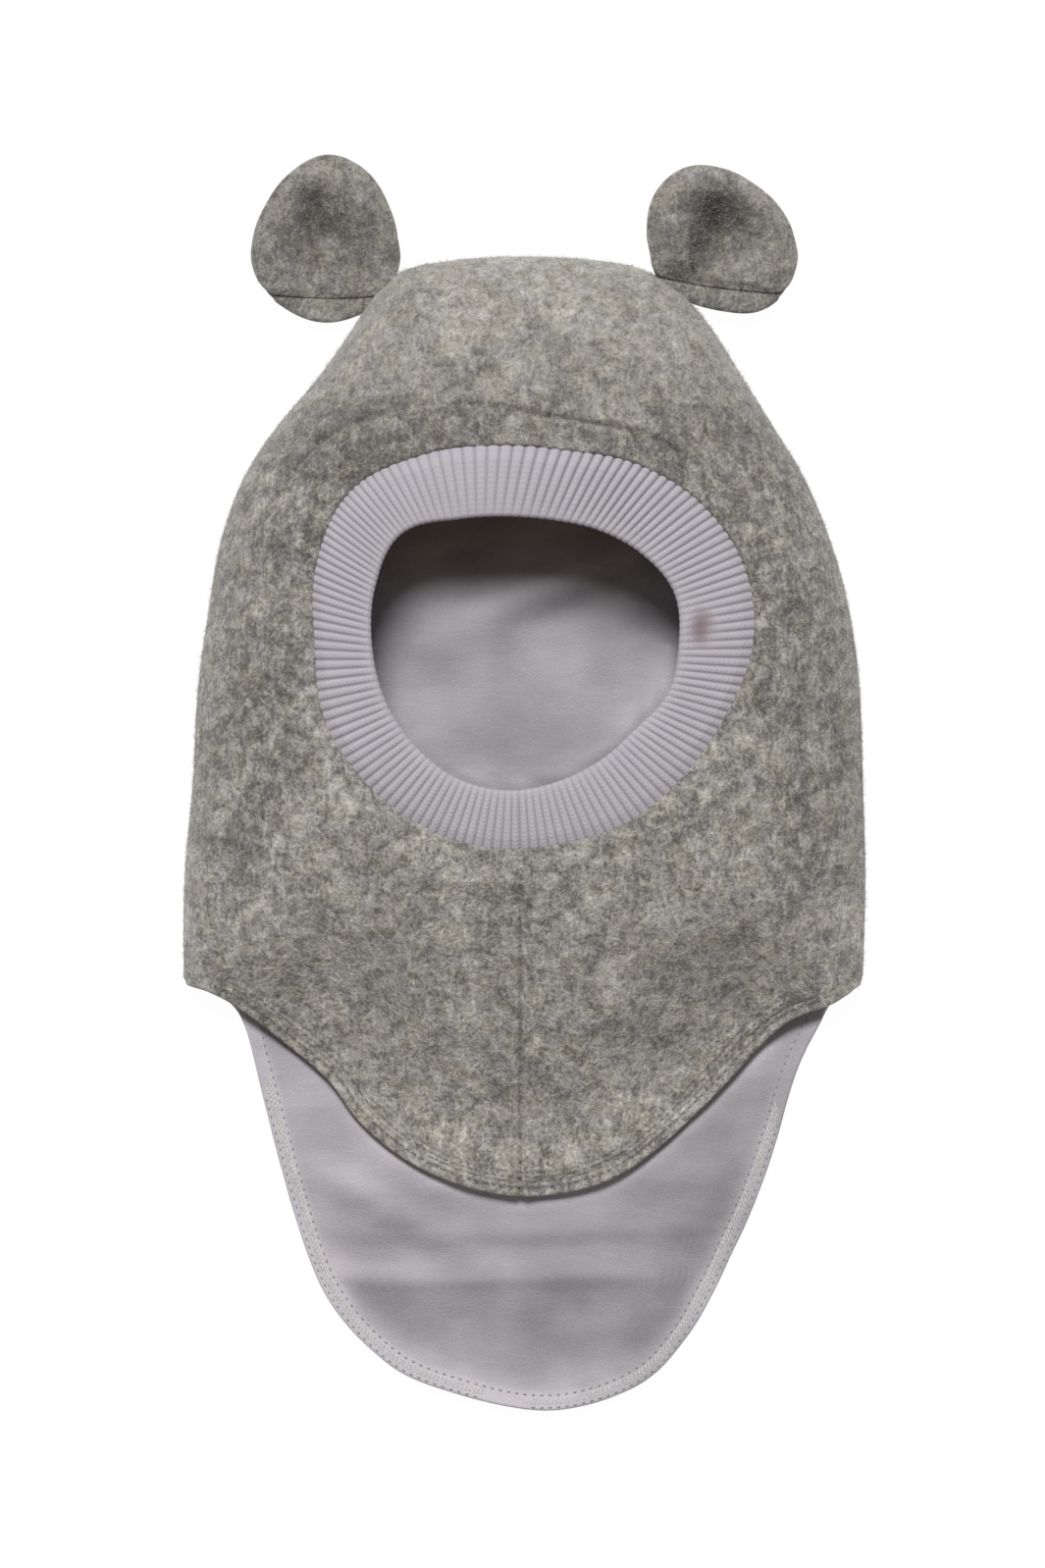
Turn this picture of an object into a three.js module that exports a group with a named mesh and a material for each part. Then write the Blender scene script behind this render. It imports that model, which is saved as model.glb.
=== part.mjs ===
// A baby's hat with bear ears: a hood of wool fleece over a velour lining, with a rib-knit cuff round
// the face, a bib in front and a longer flap at the back. It lies on its back flap, face upwards.
//
// Millimetres. +Z is up from the surface that the hat lies on, +Y runs from the neck to the crown and
// +X to the right as seen from above. The origin is the bottom centre of the whole hat.
//
// Every piece is a sheet of cloth: a surface of rows and spokes, given its thickness along its normals.
import * as THREE from 'three';

// ---- Driving sizes ----
const WOOL = 2.0; // wall of the wool fleece
const VELOUR = 1.3; // wall of the lining
const RIB = 3.0; // the knit cuff, folded double
const GAP = 0.3; // air between two layers that are sewn together
const CUFF_GAP = 0.7; // air between the cuff's outer edge and the edges of wool and lining
const LINING_INSET = 1.0; // the lining stops this far short of the wool's hem
const FACE = { x: 2.9, y: 42.3 }; // middle of the face opening, where all spokes start
const FOLD_RADIUS = 6; // the back panel rolls up to the side folds at this radius
const HEM_CURL = 25; // width of the flap's outer stretch, which curls up at its corners and its tip
const TIP_CURL = { height: 3, from: 245, to: 300 }; // how far the flap's tip curls up, and where
const CORNER_EASE = { roll: 6, front: 20, back: 14 }; // degrees in which fold gives way to hem
const FLAT_TO = 95; // the back panel lies flat from the crown to this far below the origin
const DOME = { flatness: 2.4, roundness: 2 }; // powers of the front panel's arch from fold to fold
const CUFF_DIP = 1.6; // the cuff's inner edge sinks this far below the arch
const CORNER = { right: -46, left: 223.5 }; // directions of the two corners where bib and flap part

// Outline of the closed hood, seen from above: how far it reaches left and right at each height.
const HOOD = [
  { y: -62.0, left: -105.2, right: 105.0 },
  { y: -30.0, left: -104.9, right: 105.8 },
  { y: 0.0, left: -102.3, right: 105.0 },
  { y: 30.0, left: -100.6, right: 103.9 },
  { y: 55.0, left: -97.1, right: 100.4 },
  { y: 75.0, left: -93.5, right: 94.8 },
  { y: 95.0, left: -86.1, right: 86.4 },
  { y: 110.0, left: -76.4, right: 77.6 },
  { y: 125.0, left: -64.7, right: 67.9 },
  { y: 140.0, left: -53.8, right: 58.6 },
  { y: 150.0, left: -46.0, right: 49.6 },
  { y: 158.0, left: -36.0, right: 37.0 },
  { y: 161.2, left: -22.0, right: 23.0 },
];
const CROWN_TOP = { x: 0, y: 162.6 };

// Hem of the front panel, from the corners down to the tip of the bib.
const BIB = [
  { y: -62.0, left: -105.2, right: 105.0 },
  { y: -68.0, left: -91.5, right: 97.0 },
  { y: -74.0, left: -82.5, right: 82.5 },
  { y: -80.0, left: -75.0, right: 75.0 },
  { y: -92.0, left: -60.8, right: 64.0 },
  { y: -104.0, left: -51.7, right: 52.0 },
  { y: -114.0, left: -40.6, right: 40.7 },
  { y: -121.5, left: -28.0, right: 30.0 },
  { y: -126.5, left: -13.5, right: 16.5 },
];
const BIB_TIP = { x: 0.5, y: -128.3 };

// Hem of the back panel, from the same corners down to the tip of the flap.
const FLAP = [
  { y: -62.0, left: -105.2, right: 105.0 },
  { y: -69.3, left: -91.0, right: 95.9 },
  { y: -75.4, left: -87.4, right: 91.7 },
  { y: -87.6, left: -84.1, right: 85.6 },
  { y: -111.9, left: -77.4, right: 78.0 },
  { y: -130.0, left: -72.2, right: 71.3 },
  { y: -148.4, left: -66.4, right: 63.1 },
  { y: -160.5, left: -60.6, right: 57.6 },
  { y: -172.7, left: -51.2, right: 49.7 },
  { y: -183.3, left: -38.2, right: 41.2 },
  { y: -189.6, left: -24.5, right: 31.0 },
  { y: -194.0, left: -8.5, right: 18.0 },
];
const FLAP_TIP = { x: 6, y: -195.2 };

// Height of the front panel along its middle line; the crown side is closed by the arch itself.
const RIDGE = [
  { y: -128.3, height: 14.0 },
  { y: -112.0, height: 16.0 },
  { y: -92.0, height: 20.0 },
  { y: -68.0, height: 28.0 },
  { y: -44.0, height: 36.0 },
  { y: -20.0, height: 42.5 },
  { y: 8.0, height: 46.5 },
  { y: 36.0, height: 47.5 },
];

// Soft folds (height above 0) and dents (below 0) of each panel: each is a long mound of this height
// round a middle point, turned by its heading, and fading over its length and width.
const FRONT_FOLDS = [
  { x: -80, y: 14, heading: 60, length: 22, width: 9, height: -2.6 }, // dent in the left cheek
  { x: -70, y: -3, heading: 40, length: 16, width: 8, height: -1.8 }, // dent below it
  { x: -77, y: 89, heading: 12, length: 20, width: 7, height: -2.0 }, // crease at the left temple
  { x: 60, y: 100, heading: -30, length: 20, width: 8, height: -1.6 }, // crease at the right temple
  { x: 88, y: 20, heading: 80, length: 26, width: 9, height: -1.4 }, // dent in the right cheek
];
const FLAP_FOLDS = [
  { x: 4, y: -155, heading: 1, length: 52, width: 8, height: 2.2 }, // fold right across the flap
  { x: -42, y: -129, heading: -14, length: 26, width: 9, height: 1.7 }, // fold that leaves the bib
  { x: 62, y: -118, heading: 60, length: 24, width: 8, height: 1.0 }, // rise beside the right hem
];

// The face cuff, as distances from the middle of the face in each direction.
const CUFF = [
  { angle: 0, inner: 45.8, outer: 67.4 },
  { angle: 20, inner: 47.4, outer: 70.7 },
  { angle: 40, inner: 45.9, outer: 69.2 },
  { angle: 60, inner: 42.9, outer: 65.8 },
  { angle: 80, inner: 40.4, outer: 62.7 },
  { angle: 100, inner: 41.8, outer: 64.3 },
  { angle: 120, inner: 46.3, outer: 69.4 },
  { angle: 140, inner: 52.8, outer: 75.0 },
  { angle: 160, inner: 50.9, outer: 72.3 },
  { angle: 180, inner: 49.0, outer: 68.4 },
  { angle: 200, inner: 47.5, outer: 68.7 },
  { angle: 220, inner: 45.7, outer: 67.0 },
  { angle: 240, inner: 45.6, outer: 65.7 },
  { angle: 260, inner: 43.9, outer: 63.8 },
  { angle: 280, inner: 41.7, outer: 62.5 },
  { angle: 300, inner: 40.5, outer: 62.7 },
  { angle: 320, inner: 39.8, outer: 62.4 },
  { angle: 340, inner: 43.9, outer: 63.8 },
];

// The ears, as the radius of each outline and the height of its rim above the hollow in the middle.
const EAR = { y: 168.4, leftX: -61.0, rightX: 61.6, floor: 6.0, cupPower: 2.2 };
const EAR_RIM = [
  { angle: 0, left: 20.8, leftRim: 4, right: 21.8, rightRim: 4 },
  { angle: 30, left: 21.2, leftRim: 6, right: 19.8, rightRim: 6 },
  { angle: 60, left: 23.3, leftRim: 7, right: 19.1, rightRim: 8 },
  { angle: 90, left: 25.4, leftRim: 7, right: 20.6, rightRim: 9 },
  { angle: 120, left: 23.1, leftRim: 7, right: 23.5, rightRim: 10 },
  { angle: 150, left: 21.7, leftRim: 6, right: 23.5, rightRim: 10 },
  { angle: 180, left: 22.3, leftRim: 5, right: 21.3, rightRim: 8 },
  { angle: 210, left: 24.8, leftRim: 4, right: 20.9, rightRim: 5 },
  { angle: 240, left: 25.1, leftRim: 3, right: 19.8, rightRim: 3 },
  { angle: 270, left: 25.6, leftRim: 2, right: 22.0, rightRim: 3 },
  { angle: 300, left: 23.6, leftRim: 2, right: 25.0, rightRim: 3 },
  { angle: 330, left: 22.4, leftRim: 3, right: 25.1, rightRim: 3 },
];

// ---- How finely each sheet is divided ----
const HOOD_SPOKES = 26; // from corner to corner over the crown
const HEM_SPOKES = 18; // from corner to corner past the tip
const FOLD_ROWS = [0, 0.17, 0.34, 0.5, 0.65, 0.78, 0.88, 0.95, 0.987, 1]; // cuff to side fold
const ROLL_STEPS = 3; // rows of the back panel's quarter-round roll
const BACK_ROWS = [0.94, 0.87, 0.8, 0.73, 0.5, 0.24]; // rows inside the roll, as shares of its radius
const CUFF_ROWS = [0, 0.12, 0.4, 0.7, 1]; // inner to outer edge of the cuff
const EAR_SPOKES = 20;
const EAR_ROWS = [0.35, 0.7, 1];
const CURVE_SAMPLES = 40; // points between two sections of an outline

// ---- Curves through the tables ----
const { lerp, smoothstep, clamp, degToRad, radToDeg } = THREE.MathUtils;

/** Points of a smooth outline: down the left sections, round the tip and up the right ones. */
function outlinePoints(sections, tip) {
  const left = sections.map((row) => new THREE.Vector3(row.left, row.y, 0));
  const right = sections.map((row) => new THREE.Vector3(row.right, row.y, 0)).reverse();
  const corners = [...left, new THREE.Vector3(tip.x, tip.y, 0), ...right];
  return new THREE.CatmullRomCurve3(corners).getPoints(CURVE_SAMPLES * corners.length);
}

/** A function from direction in degrees to the outline's distance from the middle of the face. */
function radiusByAngle(sections, tip, lowestAngle) {
  const rows = outlinePoints(sections, tip).map((p) => {
    const angle = radToDeg(Math.atan2(p.y - FACE.y, p.x - FACE.x));
    const radius = Math.hypot(p.x - FACE.x, p.y - FACE.y);
    return { angle: angle < lowestAngle ? angle + 360 : angle, radius };
  });
  rows.sort((a, b) => a.angle - b.angle);
  return (angle) => {
    const next = clamp(rows.findIndex((row) => row.angle >= angle), 1, rows.length - 1);
    const [a, b] = [rows[next - 1], rows[next]];
    return lerp(a.radius, b.radius, clamp((angle - a.angle) / (b.angle - a.angle), 0, 1));
  };
}

/** A smooth function of direction through one column of a table whose rows go evenly round. */
function around(table, column) {
  return (angle) => {
    const place = (((angle % 360) + 360) % 360) / (360 / table.length);
    const row = Math.floor(place);
    const t = place - row;
    const [a, b, c, d] = [-1, 0, 1, 2].map((k) => table[(row + k + table.length) % table.length][column]);
    return b + 0.5 * t * (c - a + t * (2 * a - 5 * b + 4 * c - d + t * (3 * (b - c) + d - a)));
  };
}

const hoodRadius = radiusByAngle(HOOD, CROWN_TOP, -90);
const bibRadius = radiusByAngle(BIB, BIB_TIP, 0);
const flapRadius = radiusByAngle(FLAP, FLAP_TIP, 0);
const cuffInner = around(CUFF, 'inner');
const cuffOuter = around(CUFF, 'outer');
const ridgeCurve = new THREE.CubicInterpolant(
  RIDGE.map((row) => row.y), RIDGE.map((row) => row.height), 1);
const ridgeHeight = (y) => ridgeCurve.evaluate(y)[0];

/** 0 at either corner, rising to 1 this many degrees into the hems. */
function hemness(angle, width) {
  const turned = angle > 180 ? angle - 360 : angle;
  if (turned >= CORNER.right && angle <= CORNER.left) return 0;
  const inside = Math.min(angle - CORNER.left, CORNER.right + 360 - angle);
  return smoothstep(inside, 0, width);
}

/** How far out a point lies between the middle of the face (0) and the side folds (1). */
function shareOfFold(x, y) {
  const angle = radToDeg(Math.atan2(y - FACE.y, x - FACE.x));
  const above = angle < -90 ? angle + 360 : angle;
  if (above >= CORNER.right && above <= CORNER.left) {
    return Math.hypot(x - FACE.x, y - FACE.y) / hoodRadius(above);
  }
  const side = x < FACE.x ? HOOD[0].left : HOOD[0].right;
  return (x - FACE.x) / (side - FACE.x);
}

/** Height that a table of folds and dents adds at a point. */
function foldsAt(folds, x, y) {
  return folds.reduce((sum, fold) => {
    const turn = degToRad(fold.heading);
    const along = ((x - fold.x) * Math.cos(turn) + (y - fold.y) * Math.sin(turn)) / fold.length;
    const across = ((y - fold.y) * Math.cos(turn) - (x - fold.x) * Math.sin(turn)) / fold.width;
    return sum + fold.height * Math.exp(-along * along - across * across);
  }, 0);
}

/** Height of the front panel's outer face: an arch from fold to fold under the ridge line. */
function frontHeight(x, y) {
  const share = Math.min(shareOfFold(x, y), 1);
  const arch = (1 - share ** DOME.flatness) ** (1 / DOME.roundness);
  return FOLD_RADIUS + (ridgeHeight(y) - FOLD_RADIUS + foldsAt(FRONT_FOLDS, x, y)) * arch;
}

// ---- Sheets of cloth ----
/** The point of the plan view at this direction and distance from a centre. */
function planPoint(angle, radius, centre = FACE) {
  const turn = degToRad(angle);
  return { x: centre.x + radius * Math.cos(turn), y: centre.y + radius * Math.sin(turn) };
}

/** A bare surface that grows by points and quads; vertices are shared by their number. */
class Surface {
  constructor() {
    this.points = [];
    this.faces = [];
    this.hem = new Map(); // hem point -> the next point inwards
  }

  point(x, y, z) {
    return this.points.push(new THREE.Vector3(x, y, z)) - 1;
  }

  quad(a, b, c, d) {
    this.faces.push([a, b, c], [a, c, d]);
  }

  /** Quads between two rows of points that run the same way round. */
  strip(outer, inner) {
    for (let i = 0; i < outer.length; i += 1) {
      const next = (i + 1) % outer.length;
      this.quad(outer[i], outer[next], inner[next], inner[i]);
    }
  }

  normals() {
    const normals = this.points.map(() => new THREE.Vector3());
    for (const [a, b, c] of this.faces) {
      const ab = this.points[b].clone().sub(this.points[a]);
      const ac = this.points[c].clone().sub(this.points[a]);
      const areaNormal = ab.cross(ac);
      for (const corner of [a, b, c]) normals[corner].add(areaNormal);
    }
    return normals.map((n) => n.normalize());
  }

  /** The same surface with its hems drawn in by a few millimetres. */
  trimmed(amount) {
    const copy = new Surface();
    copy.faces = this.faces;
    copy.points = this.points.map((p, i) => {
      if (!this.hem.has(i)) return p.clone();
      const inward = this.points[this.hem.get(i)].clone().sub(p);
      return p.clone().add(inward.setLength(amount));
    });
    return copy;
  }

  /** A closed sheet between two depths under this surface, with a wall along every open edge. */
  thickened(depthOut, depthIn) {
    const normals = this.normals();
    const layer = (depth) => this.points.map((p, i) => p.clone().addScaledVector(normals[i], -depth));
    const count = this.points.length;
    const faces = [...this.faces, ...this.faces.map(([a, b, c]) => [a + count, c + count, b + count])];
    const used = new Set(this.faces.flatMap(([a, b, c]) => [`${a},${b}`, `${b},${c}`, `${c},${a}`]));
    for (const edge of used) {
      const [a, b] = edge.split(',').map(Number);
      if (!used.has(`${b},${a}`)) faces.push([b, a, a + count], [b, a + count, b + count]);
    }
    const geometry = new THREE.BufferGeometry().setFromPoints([...layer(depthOut), ...layer(depthIn)]);
    geometry.setIndex(faces.flat());
    geometry.computeVertexNormals();
    return geometry;
  }
}

/** Directions of the spokes, anticlockwise: over the crown from corner to corner, then past the tips. */
function spokeAngles() {
  const over = CORNER.left - CORNER.right;
  const angles = [];
  for (let i = 0; i < HOOD_SPOKES; i += 1) angles.push(CORNER.right + (over * i) / HOOD_SPOKES);
  for (let i = 0; i < HEM_SPOKES; i += 1) angles.push(CORNER.left + ((360 - over) * i) / HEM_SPOKES);
  return angles;
}

/** How many times the roll's radius the side fold takes up along a spoke that meets it at a slant. */
function slantOfFold(angle) {
  const [before, after] = [Math.max(angle - 0.5, CORNER.right), Math.min(angle + 0.5, CORNER.left)];
  const change = hoodRadius(after) - hoodRadius(before);
  return Math.hypot(1, change / (degToRad(after - before) * hoodRadius(angle)));
}

/** Heights of the front panel along one spoke, from the cuff to the side fold or the bib's hem. */
function frontSpoke(angle, edge) {
  const last = FOLD_ROWS.length - 1;
  const evenness = hemness(angle, CORNER_EASE.front);
  return FOLD_ROWS.map((share, row) => {
    const along = lerp(share, row / last, evenness);
    const { x, y } = planPoint(angle, lerp(cuffOuter(angle), edge, along));
    return [x, y, frontHeight(x, y)];
  });
}

/** Heights of the back panel along one spoke, from the side fold or the flap's hem to the middle. */
function backSpoke(angle, edge) {
  const slant = slantOfFold(clamp(angle > 270 ? angle - 360 : angle, CORNER.right, CORNER.left));
  const reach = lerp(FOLD_RADIUS * slant, HEM_CURL, hemness(angle, CORNER_EASE.roll));
  const cornerLift = FOLD_RADIUS * (1 - hemness(angle, CORNER_EASE.back));
  const middle = 0.5 * (TIP_CURL.from + TIP_CURL.to);
  const tipShare = smoothstep(-Math.abs(angle - middle), TIP_CURL.from - middle, 0);
  const lift = cornerLift + TIP_CURL.height * tipShare;
  const rows = [];
  for (let step = 0; step <= ROLL_STEPS; step += 1) {
    const roll = (0.5 * Math.PI * step) / ROLL_STEPS;
    rows.push({ radius: edge - reach * (1 - Math.cos(roll)), height: lift * (1 - Math.sin(roll)) });
  }
  for (const share of BACK_ROWS) rows.push({ radius: (edge - reach) * share, height: 0 });
  return rows.map(({ radius, height }) => {
    const { x, y } = planPoint(angle, radius);
    return [x, y, height + foldsAt(FLAP_FOLDS, x, y) * smoothstep(-y, FLAT_TO, FLAT_TO + HEM_CURL)];
  });
}

/** The hood's outer face: the front panel, the roll at the side folds, and the back panel. */
function hoodSurface() {
  const surface = new Surface();
  const spokes = spokeAngles().map((angle, i) => {
    const pastCorner = i > HOOD_SPOKES;
    const front = frontSpoke(angle, pastCorner ? bibRadius(angle) : hoodRadius(angle));
    const back = backSpoke(angle, pastCorner ? flapRadius(angle) : hoodRadius(angle));
    const frontPoints = front.map((place) => surface.point(...place));
    const foldPoint = frontPoints[frontPoints.length - 1];
    const backPoints = back.map((place, row) => (
      row === 0 && !pastCorner ? foldPoint : surface.point(...place)));
    if (pastCorner) {
      surface.hem.set(foldPoint, frontPoints[frontPoints.length - 2]);
      surface.hem.set(backPoints[0], backPoints[1]);
    }
    return [frontPoints, backPoints];
  });
  const column = (side, row) => spokes.map((spoke) => spoke[side][row]);
  for (const side of [0, 1]) {
    const rows = spokes[0][side].length;
    for (let row = 0; row + 1 < rows; row += 1) {
      surface.strip(column(side, row + 1), column(side, row));
    }
  }
  const last = column(1, spokes[0][1].length - 1);
  const middle = surface.point(FACE.x, FACE.y, 0);
  last.forEach((point, i) => surface.faces.push([point, middle, last[(i + 1) % last.length]]));
  return surface;
}

/** The cuff's upper face, from its soft inner edge out to the wool. */
function cuffSurface() {
  const surface = new Surface();
  const angles = spokeAngles();
  const rows = CUFF_ROWS.map((share) => angles.map((angle) => {
    const { x, y } = planPoint(angle, lerp(cuffInner(angle), cuffOuter(angle) - CUFF_GAP, share));
    return surface.point(x, y, frontHeight(x, y) - CUFF_DIP * (1 - share) ** 2);
  }));
  for (let row = 0; row + 1 < rows.length; row += 1) surface.strip(rows[row + 1], rows[row]);
  return surface;
}

/** An ear's upper face: a shallow cup inside its rounded outline. */
function earSurface(side) {
  const surface = new Surface();
  const centre = { x: EAR[`${side}X`], y: EAR.y };
  const [radius, rim] = [around(EAR_RIM, side), around(EAR_RIM, `${side}Rim`)];
  const middle = surface.point(centre.x, centre.y, EAR.floor);
  const rows = EAR_ROWS.map((share) => Array.from({ length: EAR_SPOKES }, (_, i) => {
    const angle = (360 * i) / EAR_SPOKES;
    const { x, y } = planPoint(angle, share * radius(angle), centre);
    return surface.point(x, y, EAR.floor + rim(angle) * share ** EAR.cupPower);
  }));
  rows[0].forEach((point, i) => surface.faces.push([middle, point, rows[0][(i + 1) % EAR_SPOKES]]));
  for (let row = 0; row + 1 < rows.length; row += 1) surface.strip(rows[row + 1], rows[row]);
  return surface;
}

// ---- The hat ----
const fleece = { color: 0x9c9891, roughness: 0.95, metalness: 0 };
const velour = { color: 0xa09ba3, roughness: 0.85, metalness: 0 };
const knit = { color: 0xaca7af, roughness: 0.9, metalness: 0 };

const hat = new THREE.Group();

function addPiece(name, geometry, finish) {
  const piece = new THREE.Mesh(geometry, new THREE.MeshStandardMaterial(finish));
  piece.name = name;
  hat.add(piece);
}

const hood = hoodSurface();
addPiece('outer_shell', hood.thickened(0, WOOL), fleece);
addPiece('lining', hood.trimmed(LINING_INSET).thickened(WOOL + GAP, WOOL + GAP + VELOUR), velour);
addPiece('face_rib', cuffSurface().thickened(0, RIB), knit);
for (const side of ['left', 'right']) {
  const ear = earSurface(side);
  addPiece(`ear_${side}_front`, ear.thickened(0, WOOL), fleece);
  addPiece(`ear_${side}_back`, ear.thickened(WOOL + GAP, 2 * WOOL + GAP), fleece);
}

export default hat;
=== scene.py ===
"""Looks of a baby's hat with bear ears: a hood of heather-grey wool fleece over a velour lining, with a
rib-knit cuff round the face, a bib in front and a longer flap at the back, lying on its back flap.

+Z is up from the floor, +Y runs from the neck to the crown and +X to the right as seen from above.
The tables and the shapes below are in millimetres; MM turns them to metres as a mesh is made.
"""

import math

import bpy
import numpy as np
from bpy.props import FloatProperty, FloatVectorProperty, IntProperty, PointerProperty
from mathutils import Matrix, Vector
from mathutils.bvhtree import BVHTree


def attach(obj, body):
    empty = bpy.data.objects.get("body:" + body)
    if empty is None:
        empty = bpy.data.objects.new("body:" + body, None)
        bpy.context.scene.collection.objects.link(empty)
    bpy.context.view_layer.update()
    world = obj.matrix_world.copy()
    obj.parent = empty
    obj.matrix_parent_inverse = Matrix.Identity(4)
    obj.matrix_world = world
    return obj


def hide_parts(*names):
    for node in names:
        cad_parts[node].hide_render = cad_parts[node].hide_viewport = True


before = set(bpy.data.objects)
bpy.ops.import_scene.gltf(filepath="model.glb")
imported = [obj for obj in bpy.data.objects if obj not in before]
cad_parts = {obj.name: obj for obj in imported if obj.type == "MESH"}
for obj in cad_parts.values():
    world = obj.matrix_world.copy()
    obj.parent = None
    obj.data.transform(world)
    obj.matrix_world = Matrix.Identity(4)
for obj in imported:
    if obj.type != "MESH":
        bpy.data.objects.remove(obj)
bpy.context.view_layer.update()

bl_info = {
    "name": "Baby hat with ears",
    "version": (1, 0, 0),
    "blender": (4, 5, 0),
    "location": "3D View > Sidebar > Baby hat",
    "description": "Builds the cloth, knit and stitches of a baby hat with ears",
    "category": "Add Mesh",
}

MM = 0.001
SEED = 7

# ---- Sizes of the hat, in millimetres ----
WOOL = 2.0  # wall of the wool fleece
VELOUR = 1.3  # wall of the lining
RIB = 3.0  # the knit cuff, folded double
GAP = 0.3  # air between two layers that are sewn together
WOOL_TRIM = {"bib": 1.0, "flap": 1.9}  # how far the wool's middle line stays inside the hems
VELOUR_TRIM = {"bib": 1.4, "flap": 0.65}  # the same for the lining, which covers the flap's edge
FACE = np.array([2.9, 42.3])  # middle of the face opening, where all spokes start
FOLD_RADIUS = 6.0  # the back panel rolls up to the side folds at this radius
OPENING = 54.0  # the back panel lies open to view this far round the middle of the face,
FLAP_START = 122.0  # and again from this far, where the bib ends
HEM_CURL = 25.0  # width of the flap's outer stretch, which curls up at its corners and its tip
TIP_CURL = {"height": 3.4, "from": 235.0, "to": 300.0}
CORNER_EASE = {"roll": 6.0, "front": 20.0, "back": 24.0}  # degrees in which fold gives way to hem
HEM_EASE = {"trim": 3.0, "stitches": 6.0}  # the same for what is sewn along the hems
SETTLE = {"height": 7.4, "reach": 46.0, "ease": 17.0}  # the bib comes down to lie on the flap
DOME = {"flatness": 2.4, "roundness": 2.0}  # powers of the front panel's arch from fold to fold
LINING_START = 1.6  # the lining starts this far outside the cuff's seam
CUFF_DIP = 1.6  # the cuff's inner edge sinks this far below the arch
CUFF_UNDER = 0.7  # the cuff's face lies this far below the wool's, which laps over its end
CORNER = {"right": -46.0, "left": 223.5}  # directions of the corners where bib and flap part
BIB_SEAM_X = -1.0  # the bib's middle seam
BIB_SEAM_ENDS = (-24.0, -32.0)  # it starts softly below the cuff
SEAM_SPOKES = (265.6, 269.6, 0.16)  # directions in which spokes stand closer, for that seam
CLOSE_ROWS = {"cuff": 13.0, "hem": 9.0}  # how far from cuff and hem the rows of points lie closer
HEM_LINES = (3.0, 6.0)  # the two rows of hem stitches, from the edge
HEM_MIDDLE = 4.5  # the cloth swells between them
LOOPER_LINES = (1.6, 5.4)  # the same rows on the flap's inside, with the looper's threads between
SEAM = {"dip": 1.7, "reach": 10.0, "crest": 0.7, "crest_width": 2.6, "crease": 0.5}  # round the cuff
# The crease over the brow, which lies further out towards the left.
BROW = {"from": 44.0, "to": 150.0, "ease": 14.0, "crease": 1.1, "width": 0.8, "line": 9.0, "climb": 8.6}


def table(names, *rows):
    """Rows of numbers as dictionaries, with a name for each column."""
    return [dict(zip(names.split(), row)) for row in rows]


# How far each outline reaches left and right at each height, as seen from above.
HOOD = table(
    "y left right",
    (-62, -105.2, 105), (-30, -104.9, 105.8), (0, -102.3, 105), (30, -100.6, 103.9),
    (55, -97.1, 100.4), (75, -93.5, 94.8), (95, -86.1, 86.4), (110, -76.2, 77.2),
    (125, -63.6, 67.9), (140, -53, 58.4), (150, -46.4, 50), (158, -37.6, 38.4),
    (161.2, -23.4, 24.4),
)
CROWN_TOP = (0.0, 162.6)
BIB = table(
    "y left right",
    (-62, -105.2, 105), (-68, -91.5, 97), (-74, -82.5, 82.5), (-80, -75, 75), (-92, -60.8, 64),
    (-104, -51.7, 52), (-114, -40.6, 40.7), (-121.5, -28, 30), (-126.5, -13.5, 16.5),
)
BIB_TIP = (0.5, -128.3)
FLAP = table(
    "y left right",
    (-62, -105.2, 105), (-69.3, -91.6, 96.6), (-75.4, -87.6, 92.8), (-87.6, -84.1, 86.5),
    (-111.9, -77.5, 78.5), (-130, -72.4, 71.9), (-148.4, -66.4, 63.6), (-160.5, -60.6, 57.6),
    (-172.7, -51, 50.4), (-183.3, -38.2, 41.2), (-189.6, -22.2, 31), (-194, -5.5, 17.5),
)
FLAP_TIP = (6.0, -195.2)

# Height of the front panel along its middle line; the arch itself closes the crown side.
RIDGE = table(
    "y height",
    (-128.3, 12), (-112, 15), (-92, 19.5), (-68, 27.5), (-44, 36), (-20, 42.5), (8, 46.5),
    (36, 47.5),
)

# Soft folds (height above 0) and dents (below 0): each is a long mound round a middle point,
# turned by its heading, and fading over its length and width.
FRONT_FOLDS = table(
    "x y heading length width height",
    (-80, 14, 60, 22, 9, -2.6), (-70, -3, 40, 16, 8, -1.8), (-77, 89, 12, 20, 6, -2.2),
    (60, 100, -30, 20, 8, -1.6), (88, 20, 80, 26, 9, -1.4), (75, 44, 84, 12, 5, 1),
    (-72, 22, 80, 22, 4, 1.2), (-54, -14, -38, 12, 4, 1.2), (45, -50, -30, 30, 14, 1),
    (-48, -62, 20, 30, 13, -1),
)
FLAP_FOLDS = table(
    "x y heading length width height",
    (-46, -130.5, -26, 22, 5, 1.2), (-34, -139, 12, 20, 5, -0.4), (62, -118, 60, 24, 8, 1),
    (30, -168, 14, 22, 6, 0.5),
)
INNER_FOLDS = table(
    "x y heading length width height",
    (14, 61, 18, 30, 5, 2.2), (-22, 72, 14, 20, 4, 1.2), (-16, 46, 24, 16, 7, 1.2),
    (-10, 22, 24, 26, 9, 0.9), (28, 12, 60, 22, 8, 0.7), (36, 58, 0, 13, 7, 1.4),
)
# The flap's middle line: it rises under the bib and drops again behind one sharp fold across it.
FLAP_RISE = table(
    "y height",
    (-196, 0), (-184, 0.2), (-170, 0.7), (-162, 1), (-157.5, 1.3), (-153.4, 1.75), (-147, 1.5),
    (-144.5, 1.55), (-138.5, 2.25), (-132, 2.2), (-124, 2.7), (-110, 1.9), (-96, 0),
)
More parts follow.
